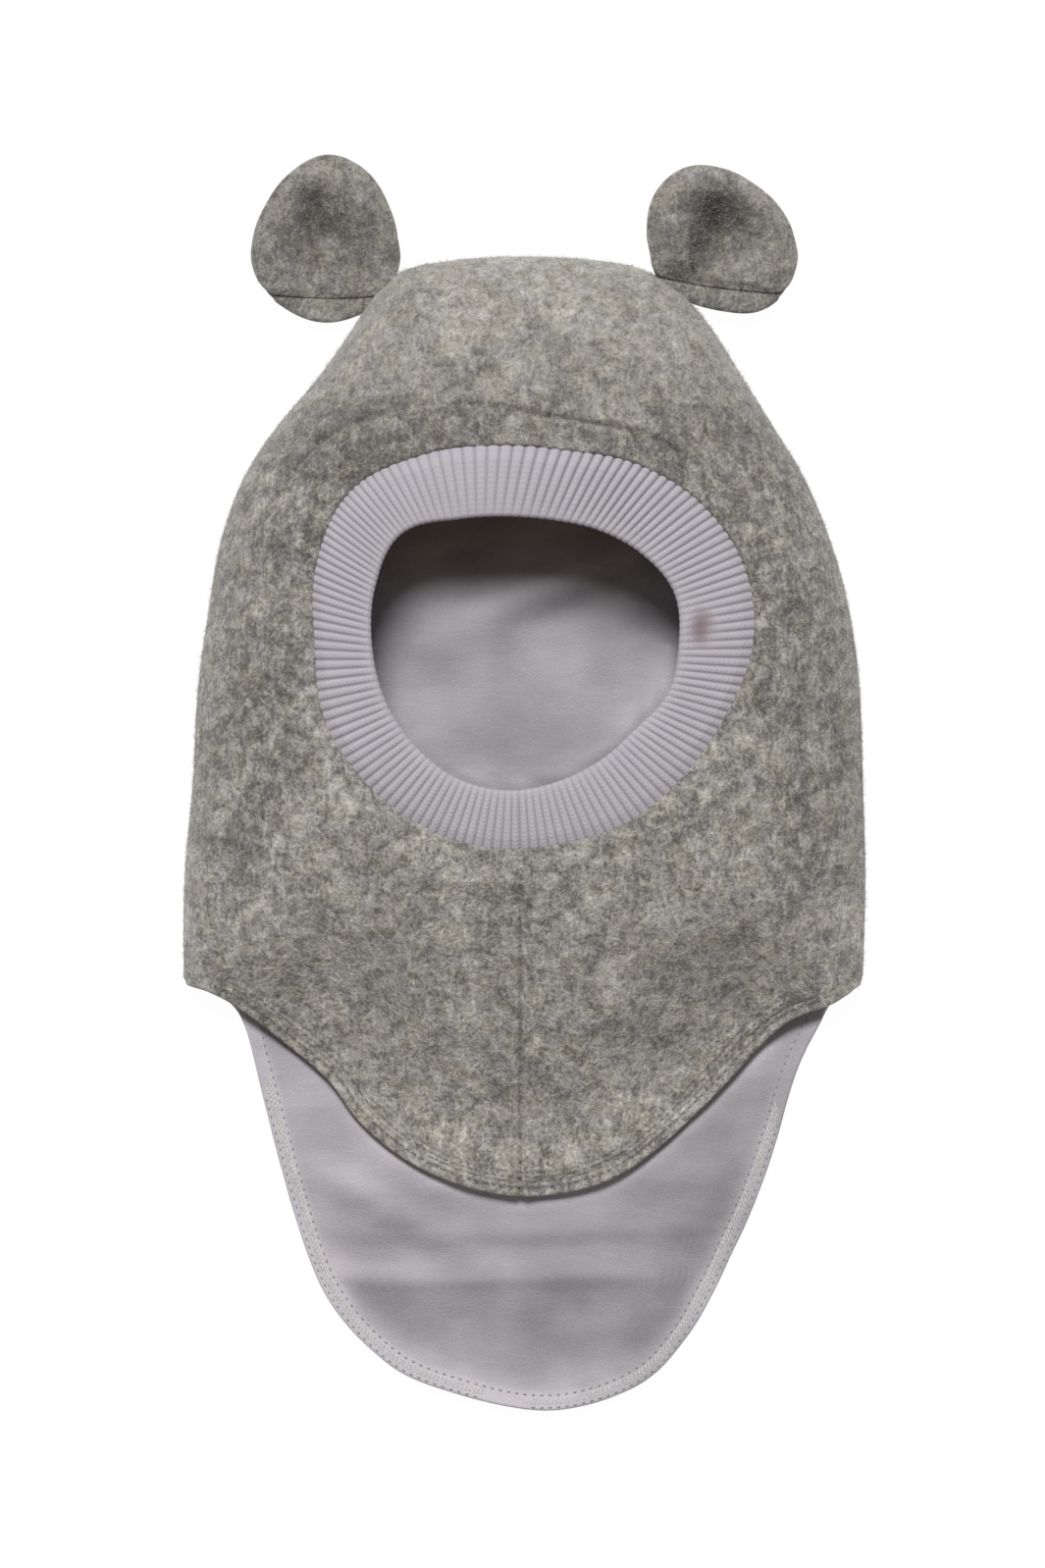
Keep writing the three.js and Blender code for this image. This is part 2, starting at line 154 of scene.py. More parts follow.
# How far that fold lies from its middle height along its way across the flap.
FOLD_BOW = table(
    "x shift",
    (-72, 1.4), (-58, 0.4), (-40, -1), (-12, -0.2), (17, 0.5), (45, 0.9), (70, 1),
)
FOLD_REACH = {"left": (-66.0, -50.0), "right": (64.0, 46.0)}  # where the rise fades to the sides

# The face cuff, as distances from the middle of the face in each direction, and how far its ribs
# are stretched apart there.
CUFF = table(
    "angle inner outer stretch",
    (0, 44.8, 67.9, 1), (20, 46.2, 69.7, 0.96), (40, 43.3, 67.9, 0.98), (60, 40.2, 64.3, 0.99),
    (80, 38.4, 60.8, 1.16), (100, 39.7, 62.4, 1.3), (120, 44.4, 67.7, 1.14),
    (140, 52.7, 73.8, 0.78), (160, 51.5, 71.4, 0.86), (180, 49.4, 67.4, 1.04),
    (200, 48.4, 68.3, 1.06), (220, 47.5, 66.7, 1.02), (240, 47.1, 65.4, 1),
    (260, 45.4, 63.8, 0.96), (280, 42.7, 61.9, 0.98), (300, 41, 62.1, 1.02),
    (320, 40.6, 61.6, 0.98), (340, 43.8, 63.4, 0.98),
)
CUFF_BAND = 22.0  # from the cuff's seam to its folded edge
CUFF_ROWS = {"face": 24, "fold": 8, "behind": 3, "per_rib": 10}  # points in the cuff's mesh
CUFF_START = {"inner": 264.6, "outer": 266.4}  # where its join lies, a little aslant
CUFF_FLATTER = table(
    "angle width amount",
    (275, 40, 0.3), (115, 24, 0.45), (62, 25, -0.25),
)
KNIT_LOOP = 1.75  # length of one loop of the knit
PRESSED = {"x": 54.4, "y": 48.0, "width": 5.0, "height": 6.5}  # where the cuff's ribs lie flattened

# The ears: radius of each outline, height of its rim above the hollow, and the line along which the
# front layer ends above the strip of back layer, y = level + slope * x from the ear's middle.
EAR = {"y": 168.4, "floor": 7.0, "base_reach": 1.6, "spokes": 110, "rings": 36}
EAR_LIP = {"share": 0.76, "gain": 1.2, "roll": 4.4}  # the rim's crest, and how far it rolls down
EAR_STRIP = {"ease": 5.0, "roll": 0.5, "thinned": 1.2}  # the front layer thins out towards its end
EAR_SIDES = {
    "left": {"x": -61.0, "level": -18.6, "slope": 0.0, "base": -45.0},
    "right": {"x": 61.6, "level": -15.6, "slope": -0.13, "base": 225.0},
}
EAR_RIM = table(
    "angle left left_rim right right_rim",
    (0, 20.9, 4, 21.1, 4), (30, 20.7, 6, 18.5, 6), (60, 23.1, 7, 17.8, 8),
    (90, 24.5, 7, 20.1, 9), (120, 21.7, 7, 23.5, 10), (150, 20.2, 6, 23.8, 10),
    (180, 21.5, 5, 22.3, 8), (210, 24.8, 4, 22.9, 5), (240, 25.2, 3, 21.4, 3),
    (270, 26, 2, 22.5, 3), (300, 24.6, 2, 25.5, 3), (330, 23.6, 3, 24.9, 3),
)
EAR_LAYERS = ("front", "back")
EAR_FOLDS = {
    "left": table(
        "x y heading length width height",
        (-4, 12, 70, 7, 4, -1.6), (0, 3, -50, 8, 4, -1.5), (8, 4, 70, 12, 5, 1.4),
        (-10, -9, 20, 10, 6, 1.2), (12, -10, 80, 9, 3, -0.8),
    ),
    "right": table(
        "x y heading length width height",
        (-13, -2, 90, 10, 4, 1.6), (-4.5, -1, 85, 8, 3, -2.2), (0, 10, 0, 6, 5, -1.4),
        (-2, 1, 80, 9, 6, -1.2), (12, -6, 60, 12, 7, 1.6), (-2, -12, -10, 8, 3, 1.2),
    ),
}
# The right ear's rim leans over its hollow: a steep step down, this wide, along x = place.
EAR_STEP = {"place": -9.6, "width": 1.9, "height": 4.0, "bottom": -12.5, "top": 4.6, "fade": 3.0}


# ---- Sizes and colours that a user would change ----
def metres(name, default, description):
    """A setting that is a length in metres."""
    return FloatProperty(
        name=name, description=description, default=default, unit="LENGTH", subtype="DISTANCE"
    )


def tint(name, default, description):
    """A setting that is a linear colour."""
    return FloatVectorProperty(name=name, description=description, default=default, subtype="COLOR")


class HatSettings(bpy.types.PropertyGroup):
    """Sizes and colours of the hat's cloth, knit and threads."""

    rib_count: IntProperty(
        name="Ribs", description="Ribs round the face cuff", default=138, min=60, max=180
    )
    fibre_count: IntProperty(
        name="Fibres", description="Loose fibres that stand off the wool", default=52000, min=0
    )
    rib_height: metres("Rib height", 0.00062, "How far a rib stands above the grooves beside it")
    stitch_length: metres("Stitch length", 0.0026, "From one needle hole of a hem to the next")
    thread: metres("Thread", 0.0005, "Diameter of the sewing thread")
    fibre_length: metres("Fibre length", 0.0022, "Length of the longest loose fibre")
    wool: tint("Wool", (0.284, 0.274, 0.256), "Middle colour of the heather wool")
    velour: tint("Velour", (0.345, 0.332, 0.36), "Colour of the lining")
    knit: tint("Knit", (0.418, 0.396, 0.434), "Colour of the rib-knit cuff")
    seam_thread: tint("Seam thread", (0.17, 0.165, 0.16), "Colour of the thread on the wool")
    looper_thread: tint("Looper thread", (0.58, 0.57, 0.55), "The looper's thread inside the flap")


# ---- Curves through the tables ----
def smoothstep(value, low, high):
    """0 up to low and 1 from high on, with a soft climb between them."""
    t = np.clip((value - low) / (high - low), 0, 1)
    return t * t * (3 - 2 * t)


def lerp(a, b, t):
    """The way from a to b, at share t of it."""
    return a + (b - a) * t


def bell(value, middle, width):
    """1 at the middle, fading over this width to both sides."""
    return np.exp(-(((value - middle) / width) ** 2))


def spoke(x, y, start=0.0):
    """Direction, in degrees from start on, and distance of a point from the middle of the face."""
    dx, dy = x - FACE[0], y - FACE[1]
    return (np.degrees(np.arctan2(dy, dx)) - start) % 360 + start, np.hypot(dx, dy)


def column(rows, key):
    """One column of a table."""
    return np.array([row[key] for row in rows], float)


def smooth_line(corners, samples=40):
    """Points of a centripetal Catmull-Rom curve through the corners."""
    corners = np.array(corners, float)
    ends = 2 * corners[[0, -1]] - corners[[1, -2]]
    path = np.vstack([ends[:1], corners, ends[1:]])
    steps = np.sqrt(np.linalg.norm(np.diff(path, axis=0), axis=1))
    t = (np.arange(samples) / samples)[:, None]
    stretches = []
    for i in range(len(corners) - 1):
        a, b, c, d = path[i : i + 4]
        before, here, after = steps[i : i + 3]
        enter = ((b - a) / before - (c - a) / (before + here) + (c - b) / here) * here
        leave = ((c - b) / here - (d - b) / (here + after) + (d - c) / after) * here
        cubic = 2 * (b - c) + enter + leave
        square = 3 * (c - b) - 2 * enter - leave
        stretches.append(b + t * (enter + t * (square + t * cubic)))
    return np.vstack([*stretches, corners[-1:]])


def outline_reach(sections, tip, lowest):
    """A function from direction in degrees to an outline's distance from the middle of the face."""
    left = list(zip(column(sections, "left"), column(sections, "y")))
    right = list(zip(column(sections, "right"), column(sections, "y")))[::-1]
    line = smooth_line([*left, tip, *right]) - FACE
    angle = np.degrees(np.arctan2(line[:, 1], line[:, 0]))
    angle[angle < lowest] += 360
    order = np.argsort(angle)
    return lambda a: np.interp(a, angle[order], np.hypot(line[:, 0], line[:, 1])[order])


def around(rows, key):
    """A smooth function of direction through a column of a table whose rows go evenly round."""
    values = column(rows, key)

    def curve(angle):
        place = (np.asarray(angle, float) % 360) / 360 * len(values)
        row = np.floor(place).astype(int)
        t = place - row
        a, b, c, d = (values[(row + k) % len(values)] for k in (-1, 0, 1, 2))
        return b + 0.5 * t * (c - a + t * (2 * a - 5 * b + 4 * c - d + t * (3 * (b - c) + d - a)))

    return curve


def along(rows, key, value):
    """A smooth function along one axis, with no overshoot between two rows of a table."""
    rows = sorted(rows, key=lambda row: row[key])
    x, y = column(rows, key), column(rows, value)
    gaps, steps = np.diff(x), np.diff(y) / np.diff(x)
    product, total = steps[1:] * steps[:-1], steps[1:] + steps[:-1]
    inner = np.where(product > 0, 2 * product / np.where(product > 0, total, 1), 0)
    slope = np.concatenate([[0.0], inner, [0.0]])

    def curve(place):
        place = np.clip(place, x[0], x[-1])
        i = np.clip(np.searchsorted(x, place) - 1, 0, len(gaps) - 1)
        t = (place - x[i]) / gaps[i]
        rise = y[i + 1] - y[i]
        enter, leave = slope[i] * gaps[i], slope[i + 1] * gaps[i]
        return y[i] + t * (enter + t * (3 * rise - 2 * enter - leave + t * (enter + leave - 2 * rise)))

    return curve


hood_reach = outline_reach(HOOD, CROWN_TOP, -90)
bib_reach = outline_reach(BIB, BIB_TIP, 0)
flap_reach = outline_reach(FLAP, FLAP_TIP, 0)
cuff_inner, cuff_outer = around(CUFF, "inner"), around(CUFF, "outer")
ridge_height = along(RIDGE, "y", "height")
flap_rise = along(FLAP_RISE, "y", "height")
fold_bow = along(FOLD_BOW, "x", "shift")


def hemness(angle, width):
    """0 at either corner and over the hood, rising to 1 this many degrees into the hems."""
    inside = np.minimum(angle - CORNER["left"], CORNER["right"] + 360 - angle)
    return smoothstep(inside, 0, width)


def slant(reach, angle, low, high):
    """How many times longer a spoke is than the straight way across the edge that it meets."""
    angle = np.clip(angle, low, high)
    before, after = np.maximum(angle - 0.5, low), np.minimum(angle + 0.5, high)
    change = (reach(after) - reach(before)) / np.radians(after - before)
    return np.hypot(1, change / reach(angle))


def hem_slant(reach, angle):
    """The same for a hem, which runs from one corner round the tip to the other."""
    return slant(reach, angle, CORNER["left"], CORNER["right"] + 360)


def inside_hem(reach, angle, radius):
    """How far a point lies inside a hem, straight across it."""
    return (reach(angle) - radius) / hem_slant(reach, angle)


def share_of_fold(x, y):
    """How far out a point lies between the middle of the face (0) and the side folds (1)."""
    dx, dy = x - FACE[0], y - FACE[1]
    angle = np.degrees(np.arctan2(dy, dx))
    angle = np.where(angle < -90, angle + 360, angle)
    over_hood = (angle >= CORNER["right"]) & (angle <= CORNER["left"])
    side = np.where(dx < 0, HOOD[0]["left"], HOOD[0]["right"]) - FACE[0]
    return np.where(over_hood, np.hypot(dx, dy) / hood_reach(angle), dx / side)


def folds_at(folds, x, y):
    """Height that a table of folds and dents adds at a point."""
    total = np.zeros(np.broadcast(x, y).shape)
    for fold in folds:
        turn = math.radians(fold["heading"])
        dx, dy = x - fold["x"], y - fold["y"]
        lengthwise = (dx * math.cos(turn) + dy * math.sin(turn)) / fold["length"]
        crosswise = (dy * math.cos(turn) - dx * math.sin(turn)) / fold["width"]
        total = total + fold["height"] * np.exp(-(lengthwise**2) - crosswise**2)
    return total


def front_height(x, y):
    """Height of the front panel's outer face: an arch from fold to fold under the ridge line."""
    share = np.clip(share_of_fold(x, y), 0, 1)
    arch = (1 - share ** DOME["flatness"]) ** (1 / DOME["roundness"])
    return FOLD_RADIUS + (ridge_height(y) - FOLD_RADIUS + folds_at(FRONT_FOLDS, x, y)) * arch


def flap_height(x, y):
    """Height of the flap's folds above the floor."""
    left, right = FOLD_REACH["left"], FOLD_REACH["right"]
    across = smoothstep(x, *left) * smoothstep(-x, -right[0], -right[1])
    rise = flap_rise(y - fold_bow(x)) * across
    return np.maximum(rise + folds_at(FLAP_FOLDS, x, y) * smoothstep(-y, 95, 120), 0)


def waves(x, y, length, height):
    """Soft unevenness of handled cloth, as the sum of a few long ripples."""
    random = np.random.default_rng(SEED)
    total = 0
    for _ in range(14):
        heading, phase = random.uniform(0, 2 * math.pi, 2)
        turns = 2 * math.pi / (length * random.uniform(0.6, 1.8))
        total = total + np.sin((x * math.cos(heading) + y * math.sin(heading)) * turns + phase)
    return total * height / math.sqrt(14)


# ---- Sheets of cloth ----
class Surface:
    """Points and faces of an open surface, which thicken() makes a closed wall of cloth."""

    def __init__(self, points, faces):
        self.points = np.asarray(points, float)
        self.faces = faces  # a list of index arrays, each of quads or of triangles

    def normals(self):
        total = np.zeros_like(self.points)
        for corners in self.faces:
            place = self.points[corners]
            if corners.shape[1] == 4:
                area = np.cross(place[:, 2] - place[:, 0], place[:, 3] - place[:, 1])
            else:
                area = np.cross(place[:, 1] - place[:, 0], place[:, 2] - place[:, 0])
            for k in range(corners.shape[1]):
                np.add.at(total, corners[:, k], area)
        return total / np.maximum(np.linalg.norm(total, axis=1), 1e-12)[:, None]

    def rims(self):
        """Each open edge as the number of its first and of its second point."""
        pairs = np.vstack(
            [
                np.stack([corners[:, k], np.roll(corners, -1, axis=1)[:, k]], axis=1)
                for corners in self.faces
                for k in range(corners.shape[1])
            ]
        )
        size = len(self.points)
        keys = pairs[:, 0] * size + pairs[:, 1]
        back = pairs[:, 1] * size + pairs[:, 0]
        return pairs[~np.isin(keys, back)]

    def thicken(self, outer, inner, steps=5):
        """A closed wall between two depths under this surface, with its open edges rounded. Each
        depth is one number, or a column with a number for each point."""
        normals = self.normals()
        size, edges = len(self.points), self.rims()
        centre, half = 0.5 * (outer + inner), 0.5 * (inner - outer) * np.ones((size, 1))
        forward = self.points[edges[:, 1]] - self.points[edges[:, 0]]
        outward = np.zeros_like(self.points)
        for end in (0, 1):
            np.add.at(outward, edges[:, end], np.cross(forward, normals[edges[:, end]]))
        rim = np.unique(edges)
        away = outward[rim] / np.maximum(np.linalg.norm(outward[rim], axis=1), 1e-9)[:, None]
        middle = self.points - normals * centre
        layers = [middle + normals * half, middle - normals * half]
        rings = [np.arange(size)]
        for step in range(1, steps):
            turn = math.pi * step / steps
            ring = normals[rim] * math.cos(turn) + away * math.sin(turn)
            number = np.zeros(size, int)
            number[rim] = sum(len(layer) for layer in layers) + np.arange(len(rim))
            layers.append(middle[rim] + ring * half[rim])
            rings.append(number)
        rings.append(np.arange(size) + size)
        faces = list(self.faces) + [corners[:, ::-1] + size for corners in self.faces]
        a, b = edges[:, 0], edges[:, 1]
        for top, below in zip(rings, rings[1:]):
            faces.append(np.stack([top[b], top[a], below[a], below[b]], axis=1))
        return Surface(np.vstack(layers), faces)

    def mesh(self, name):
        """A smooth-shaded mesh object of this surface."""
        data = bpy.data.meshes.new(name)
        faces = [corner for corners in self.faces for corner in corners.tolist()]
        data.from_pydata((self.points * MM).tolist(), [], faces)
        data.shade_smooth()
        return placed(name, data)


def placed(name, data):
    """A new object in the scene."""
    made = bpy.data.objects.new(name, data)
    bpy.context.scene.collection.objects.link(made)
    return made


def grid_faces(numbers):
    """Quads between the rows of a grid of point numbers; its columns go anticlockwise."""
    ahead = np.roll(numbers, -1, axis=1)
    quads = np.stack([numbers[1:], ahead[1:], ahead[:-1], numbers[:-1]], axis=-1)
    return quads.reshape(-1, 4)


def spoke_angles(hood_spokes, hem_spokes):
    """Directions of the spokes, over the crown and then past the tips, closer at the bib's seam."""
    over = np.linspace(CORNER["right"], CORNER["left"], hood_spokes, endpoint=False)
    past = np.linspace(CORNER["left"], CORNER["right"] + 360, hem_spokes, endpoint=False)
    seam = np.arange(*SEAM_SPOKES)
    past = past[(past < seam[0] - 0.3) | (past > seam[-1] + 0.3)]
    return np.concatenate([over, np.sort(np.concatenate([past, seam]))])


def polar(angle, radius, centre=FACE):
    """Plan point at this direction and distance from a centre."""
    turn = np.radians(angle)
    return centre[0] + radius * np.cos(turn), centre[1] + radius * np.sin(turn)


def front_radii(angle, start, edge, rows):
    """Distances of the front panel's points along each spoke, close at the cuff, fold and hem."""
    ring = np.minimum(CLOSE_ROWS["cuff"], 0.45 * (edge - start))
    close = np.linspace(0, CLOSE_ROWS["cuff"], rows["ring"], endpoint=False)[:, None]
    near = start + np.minimum(close, 0.45 * (edge - start))
    begin = start + ring
    turn = 0.5 * math.pi * np.linspace(0, 1, rows["field"] + rows["hem"])[:, None]
    to_fold = begin + (edge - begin) * np.sin(turn)
    hem = np.minimum(CLOSE_ROWS["hem"] * hem_slant(bib_reach, angle), 0.4 * (edge - begin))
    field = lerp(begin, edge - hem, np.linspace(0, 1, rows["field"], endpoint=False)[:, None])
    band = lerp(edge - hem, edge, np.linspace(0, 1, rows["hem"])[:, None])
    evenness = hemness(angle, CORNER_EASE["front"])
    return np.vstack([near, lerp(to_fold, np.vstack([field, band]), evenness)])


def back_rows(angle, edge, rows):
    """Distance and height of the back panel's points along each spoke, from its edge inwards."""
    low, high = CORNER["right"], CORNER["left"]
    nearest = np.where(angle > 270, low, high)
    fold = slant(hood_reach, np.where(angle > high, nearest, angle), low, high)
    flatness = hemness(angle, CORNER_EASE["roll"])
    reach = lerp(FOLD_RADIUS * fold, HEM_CURL, flatness)
    middle = 0.5 * (TIP_CURL["from"] + TIP_CURL["to"])
    tip_share = smoothstep(-np.abs(angle - middle), TIP_CURL["from"] - middle, 0)
    lift = FOLD_RADIUS * (1 - hemness(angle, CORNER_EASE["back"])) + TIP_CURL["height"] * tip_share
    roll = 0.5 * math.pi * np.linspace(0, 1, rows["roll"])[:, None]
    radius = [edge - reach * (1 - np.cos(roll))]
    height = lift * lerp(1 - np.sin(roll), np.cos(roll) ** 2, flatness)
    bend = np.minimum(FLAP_START, 0.5 * (edge - reach + OPENING))
    stretches = (edge - reach, bend, "flap"), (bend, OPENING, "side"), (OPENING, 0, "middle")
    for begin, end, name in stretches:
        share = (np.arange(rows[name])[:, None] + 1) / (rows[name] + 1)
        radius.append(lerp(begin, end, share) * np.ones(len(angle)))
    radius = np.vstack(radius)
    flat = np.zeros((len(radius) - len(height), len(angle)))
    return radius, np.vstack([height, flat])


def hood_surface(rows, start_gap, trim, relief):
    """The hood's outer face: front panel, side folds and back panel, with the bib's and the flap's
    hems drawn in by a trim. relief adds sewn detail to the front."""
    angle = spoke_angles(rows["hood_spokes"], rows["hem_spokes"])
    past = angle > CORNER["left"]
    edges = []
    for reach, amount in ((bib_reach, trim["bib"]), (flap_reach, trim["flap"])):
        drawn_in = amount * hemness(angle, HEM_EASE["trim"]) * hem_slant(reach, angle)
        edges.append(np.where(past, reach(angle), hood_reach(angle)) - drawn_in)
    bib, flap = edges
    radius = front_radii(angle, cuff_outer(angle) + start_gap, bib, rows)
    x, y = polar(angle, radius)
    from_hem = (bib - radius) / hem_slant(bib_reach, angle)
    settled = hemness(angle, SETTLE["ease"]) * (1 - smoothstep(from_hem, 0, SETTLE["reach"]))
    lying = flap_height(x, y) + SETTLE["height"]
    front = np.stack([x, y, lerp(front_height(x, y), lying, settled)], axis=-1)
    height = relief(angle, radius, bib, x, y).ravel()
    radius, lift = back_rows(angle, flap, rows)
    x, y = polar(angle, radius)
    back = np.stack([x, y, lift + flap_height(x, y)], axis=-1)
    points = np.vstack([front.reshape(-1, 3), back.reshape(-1, 3), [[*FACE, 0.0]]])
    count = len(height)
    front_numbers = np.arange(count).reshape(front.shape[:2])
    back_numbers = np.arange(back[..., 0].size).reshape(back.shape[:2]) + count
    back_numbers[0, angle <= CORNER["left"]] = front_numbers[-1, angle <= CORNER["left"]]
    last = back_numbers[-1]
    fan = np.stack([last, np.full(len(last), len(points) - 1), np.roll(last, -1)], axis=1)
    surface = Surface(points, [grid_faces(front_numbers), grid_faces(back_numbers), fan])
    surface.points[:count] += surface.normals()[:count] * height[:, None]
    return surface


def used_only(surface):
    """The same surface without the points that no face uses."""
    used = np.unique(np.concatenate([corners.ravel() for corners in surface.faces]))
    number = np.zeros(len(surface.points), int)
    number[used] = np.arange(len(used))
    return Surface(surface.points[used], [number[corners] for corners in surface.faces])


def seam_dip(from_seam, angle):
    """How far both wool and cuff sink towards the seam that joins them, most of all at the brow."""
    above = 0.5 + 0.5 * np.sin(np.radians(angle))
    deep = SEAM["dip"] * lerp(0.2, 1.0, above)
    return -deep * (1 - smoothstep(np.abs(from_seam), 0, SEAM["reach"])) ** 1.5


def brow_share(angle):
    """1 over the brow, where a crease and gathers lie beside the cuff, and 0 elsewhere."""
    begun = smoothstep(angle, BROW["from"], BROW["from"] + BROW["ease"])
    return begun * (1 - smoothstep(angle, BROW["to"] - BROW["ease"], BROW["to"]))


def brow_line(angle):
    """How far outside the cuff's seam the crease lies."""
    wander = 0.35 * np.sin(np.radians(angle * 7)) + 0.175 * np.sin(np.radians(angle * 19 + 60))
    return BROW["line"] + BROW["climb"] * smoothstep(angle, 70, 140) + wander


def edge_highlight(up):
    """Painted highlight: how much lighter the wool is painted where it turns away, standing in
    for its loose fibres catching the light.
    """
    return 0.4 * (1 - np.abs(up)) ** 1.6


def wool_painted_shade(surface):
    """Painted shade on the wool at each point, up to 1: darker in the brow's crease, along
    the seams and hem stitches and at the hood's sides. Below 0 it is a painted highlight,
    on the hem's swell and where the wool turns away.
    """
    x, y, _ = surface.points.T
    angle, radius = spoke(x, y, CORNER["right"])
    from_cuff = radius - cuff_outer(angle)
    brow, line = brow_share(angle), brow_line(angle)
    dashes = 0.5 + 0.5 * np.sin(np.radians(angle) * 110) * np.sin(np.radians(angle) * 31)
    crease = 0.75 * dashes * brow * bell(from_cuff, line, 1.1 * BROW["width"])
    band = 0.12 * brow * (1 - smoothstep(from_cuff, line - 1, line + 1))
    above = 0.1 * brow * (1 - smoothstep(from_cuff, line, line + 16))
    seam = 0.3 * bell(from_cuff, -0.6, 1.1)
    side = 0.36 + 0.08 * smoothstep(y, 45, 70)
    side = side * smoothstep(share_of_fold(x, y), 0.5, 0.8) * smoothstep(y, -50, 0)
    side = side * (1 - smoothstep(y, 100, 140))
    bib = 0.42 * bell(x, BIB_SEAM_X, 0.6) * smoothstep(y, *BIB_SEAM_ENDS)
    from_hem = inside_hem(bib_reach, angle, radius)
    hem = 0.5 * sum(bell(from_hem, line, 0.6) for line in HEM_LINES)
    hem = (hem - 0.3 * bell(from_hem, HEM_MIDDLE, 0.8)) * hemness(angle, HEM_EASE["stitches"])
    hem = hem * smoothstep(from_hem, -2, 0)
    up = surface.normals()[:, 2]
    total = crease + band + above + seam + side + bib + hem - edge_highlight(up)
    return np.where(up > 0.05, np.clip(total, -1, 1), -edge_highlight(up))


def wool_relief(angle, radius, edge, x, y):
    """What sewing does to the front panel: the cuff's seam, the brow, the bib's seam and the hem."""
    from_cuff = radius - cuff_outer(angle)
    crest = SEAM["crest"] * bell(from_cuff, SEAM["reach"] + 1.5, SEAM["crest_width"])
    uneven = 0.75 + 0.25 * np.sin(np.radians(angle * 3 + 40))
    brow = brow_share(angle)
    crease = lerp(SEAM["crease"] * uneven, BROW["crease"], brow)
    crease = -crease * bell(from_cuff, brow_line(angle), BROW["width"])
    gathers = 0.32 * brow * np.sin(np.radians(angle) * 95) * (1 - smoothstep(from_cuff, 4, 8.5))
    off_seam = np.abs(x - BIB_SEAM_X)
    seam = -0.8 * bell(off_seam, 0, 0.6) + 0.3 * bell(off_seam, 2.2, 1.3)
    seam = seam * smoothstep(y, *BIB_SEAM_ENDS)
    from_hem = (edge - radius) / hem_slant(bib_reach, angle)
    hem = 0.4 * bell(from_hem, HEM_MIDDLE, 1.0)
    hem = hem - 0.85 * sum(bell(from_hem, line, 0.55) for line in HEM_LINES)
    ripple = waves(x, y, 26, 0.28) * smoothstep(from_cuff, 0, 12)
    ripple = ripple * (1 - smoothstep(share_of_fold(x, y), 0.9, 1.0))
    sewn = crest * uneven + crease + gathers + seam
    hem = hem * hemness(angle, HEM_EASE["stitches"])
    return seam_dip(from_cuff, angle) + sewn + hem + ripple


def lining_dip(angle, radius, edge, x, y):
    """The lining follows the wool down to the cuff's seam."""
    return seam_dip(radius - cuff_outer(angle), angle)


def painted_velour_light(x, y):
    """Painted light and shade of the velour, from 0 (dark) to 1 (light): lighter on slopes facing
    the light and darker on those facing away, darker behind the flap's fold and lighter on its
    ridge, and lighter beside the bib's hem, at the face opening's sides and on the cuff's lip.
    Besides, it is lighter along the flap's hem and towards its tip, darker at its right side.
    """
    def lift(at):
        return flap_height(x, at) + folds_at(INNER_FOLDS, x, at) * smoothstep(at, -20, 0)

    # Painted shading: slopes that face the light, towards +Y, are painted lighter and those facing away
    # darker.
    slope = lift(y + 0.6) - lift(y - 0.6)
    angle, radius = spoke(x, y)
    from_hem = inside_hem(flap_reach, angle, radius)
    edge = 0.34 * (1 - smoothstep(from_hem, 5.4, 6.6)) * smoothstep(-y, 60, 70)
    edge = edge * (1 - 0.75 * smoothstep(x, 0, 40))
    # Lighter towards the flap's tip.
    local_tone = 0.33 * (1 - smoothstep(from_hem, 5, 15)) * smoothstep(-y, 120, 184)
    local_tone = local_tone * (1 - 0.5 * smoothstep(x, -5, 30))
    side = -0.28 * smoothstep(x, 20, 60) * smoothstep(-y, 80, 110) * smoothstep(from_hem, 4, 9)
    side = side + 0.10 * smoothstep(-x, 45, 70) * smoothstep(-y, 80, 110)
    fold = y - fold_bow(x)
    # Painted shade behind the flap's fold, and a painted highlight along its ridge.
    behind = -0.25 * smoothstep(-fold, 152.2, 155.6) * (1 - smoothstep(-y, 168, 184))
    behind = behind * smoothstep(from_hem, 5, 12)
    light = bell(fold, -150.3, 2.8) * (0.22 - 0.34 * smoothstep(x, -54, -20))
    # Painted light that thins the bib's shadow on the flap beside its hem.
    beside = 0.45 * bell(inside_hem(bib_reach, angle, radius), 0, 3.0) * smoothstep(-y, 60, 70)
    beside = beside * smoothstep(x, -62, -40)
    # Painted light at the face opening's sides, where the cuff's walls shade the lining, and a painted
    # highlight on the cuff's lip.
    inside = 0.45 * smoothstep(x, 25, 53) + 0.12 * smoothstep(-x, 19, 47)
    facing = 0.3 * bell(cuff_inner(angle) - radius, 2.6, 1.5) * smoothstep(angle, 225, 250)
    inside = (inside * (1 - smoothstep(y, 32, 52)) + facing) * (radius < OPENING + 10)
    total = 0.5 - 0.8 * slope + edge + local_tone + side + behind + light + beside + inside
    return np.clip(total + waves(x, y, 24, 0.06), 0, 1)


def lining_relief(surface):
    """Soft folds of the velour that shows through the face opening and on the flap."""
    x, y, z = surface.points.T
    flat = (surface.normals()[:, 2] < -0.5) & (z < 12)
    angle, radius = spoke(x, y)
    facing = bell(cuff_inner(angle) - radius, 3.0, 2.2) * smoothstep(angle, 235, 260)
    lift = folds_at(INNER_FOLDS, x, y) * smoothstep(y, -20, 0) + waves(x, y, 18, 0.12) + facing
    surface.points[:, 2] += np.where(flat, np.maximum(lift, -0.15), 0)
    return surface


# ---- Materials ----
def arithmetic(operation, reflected=False):
    """An operator of Wire: one Math node, its inputs swapped when the wire stands on the right."""
    def apply(self, other):
        first, second = (other, self) if reflected else (self, other)
        return self.graph.math(operation, first, second)

    return apply


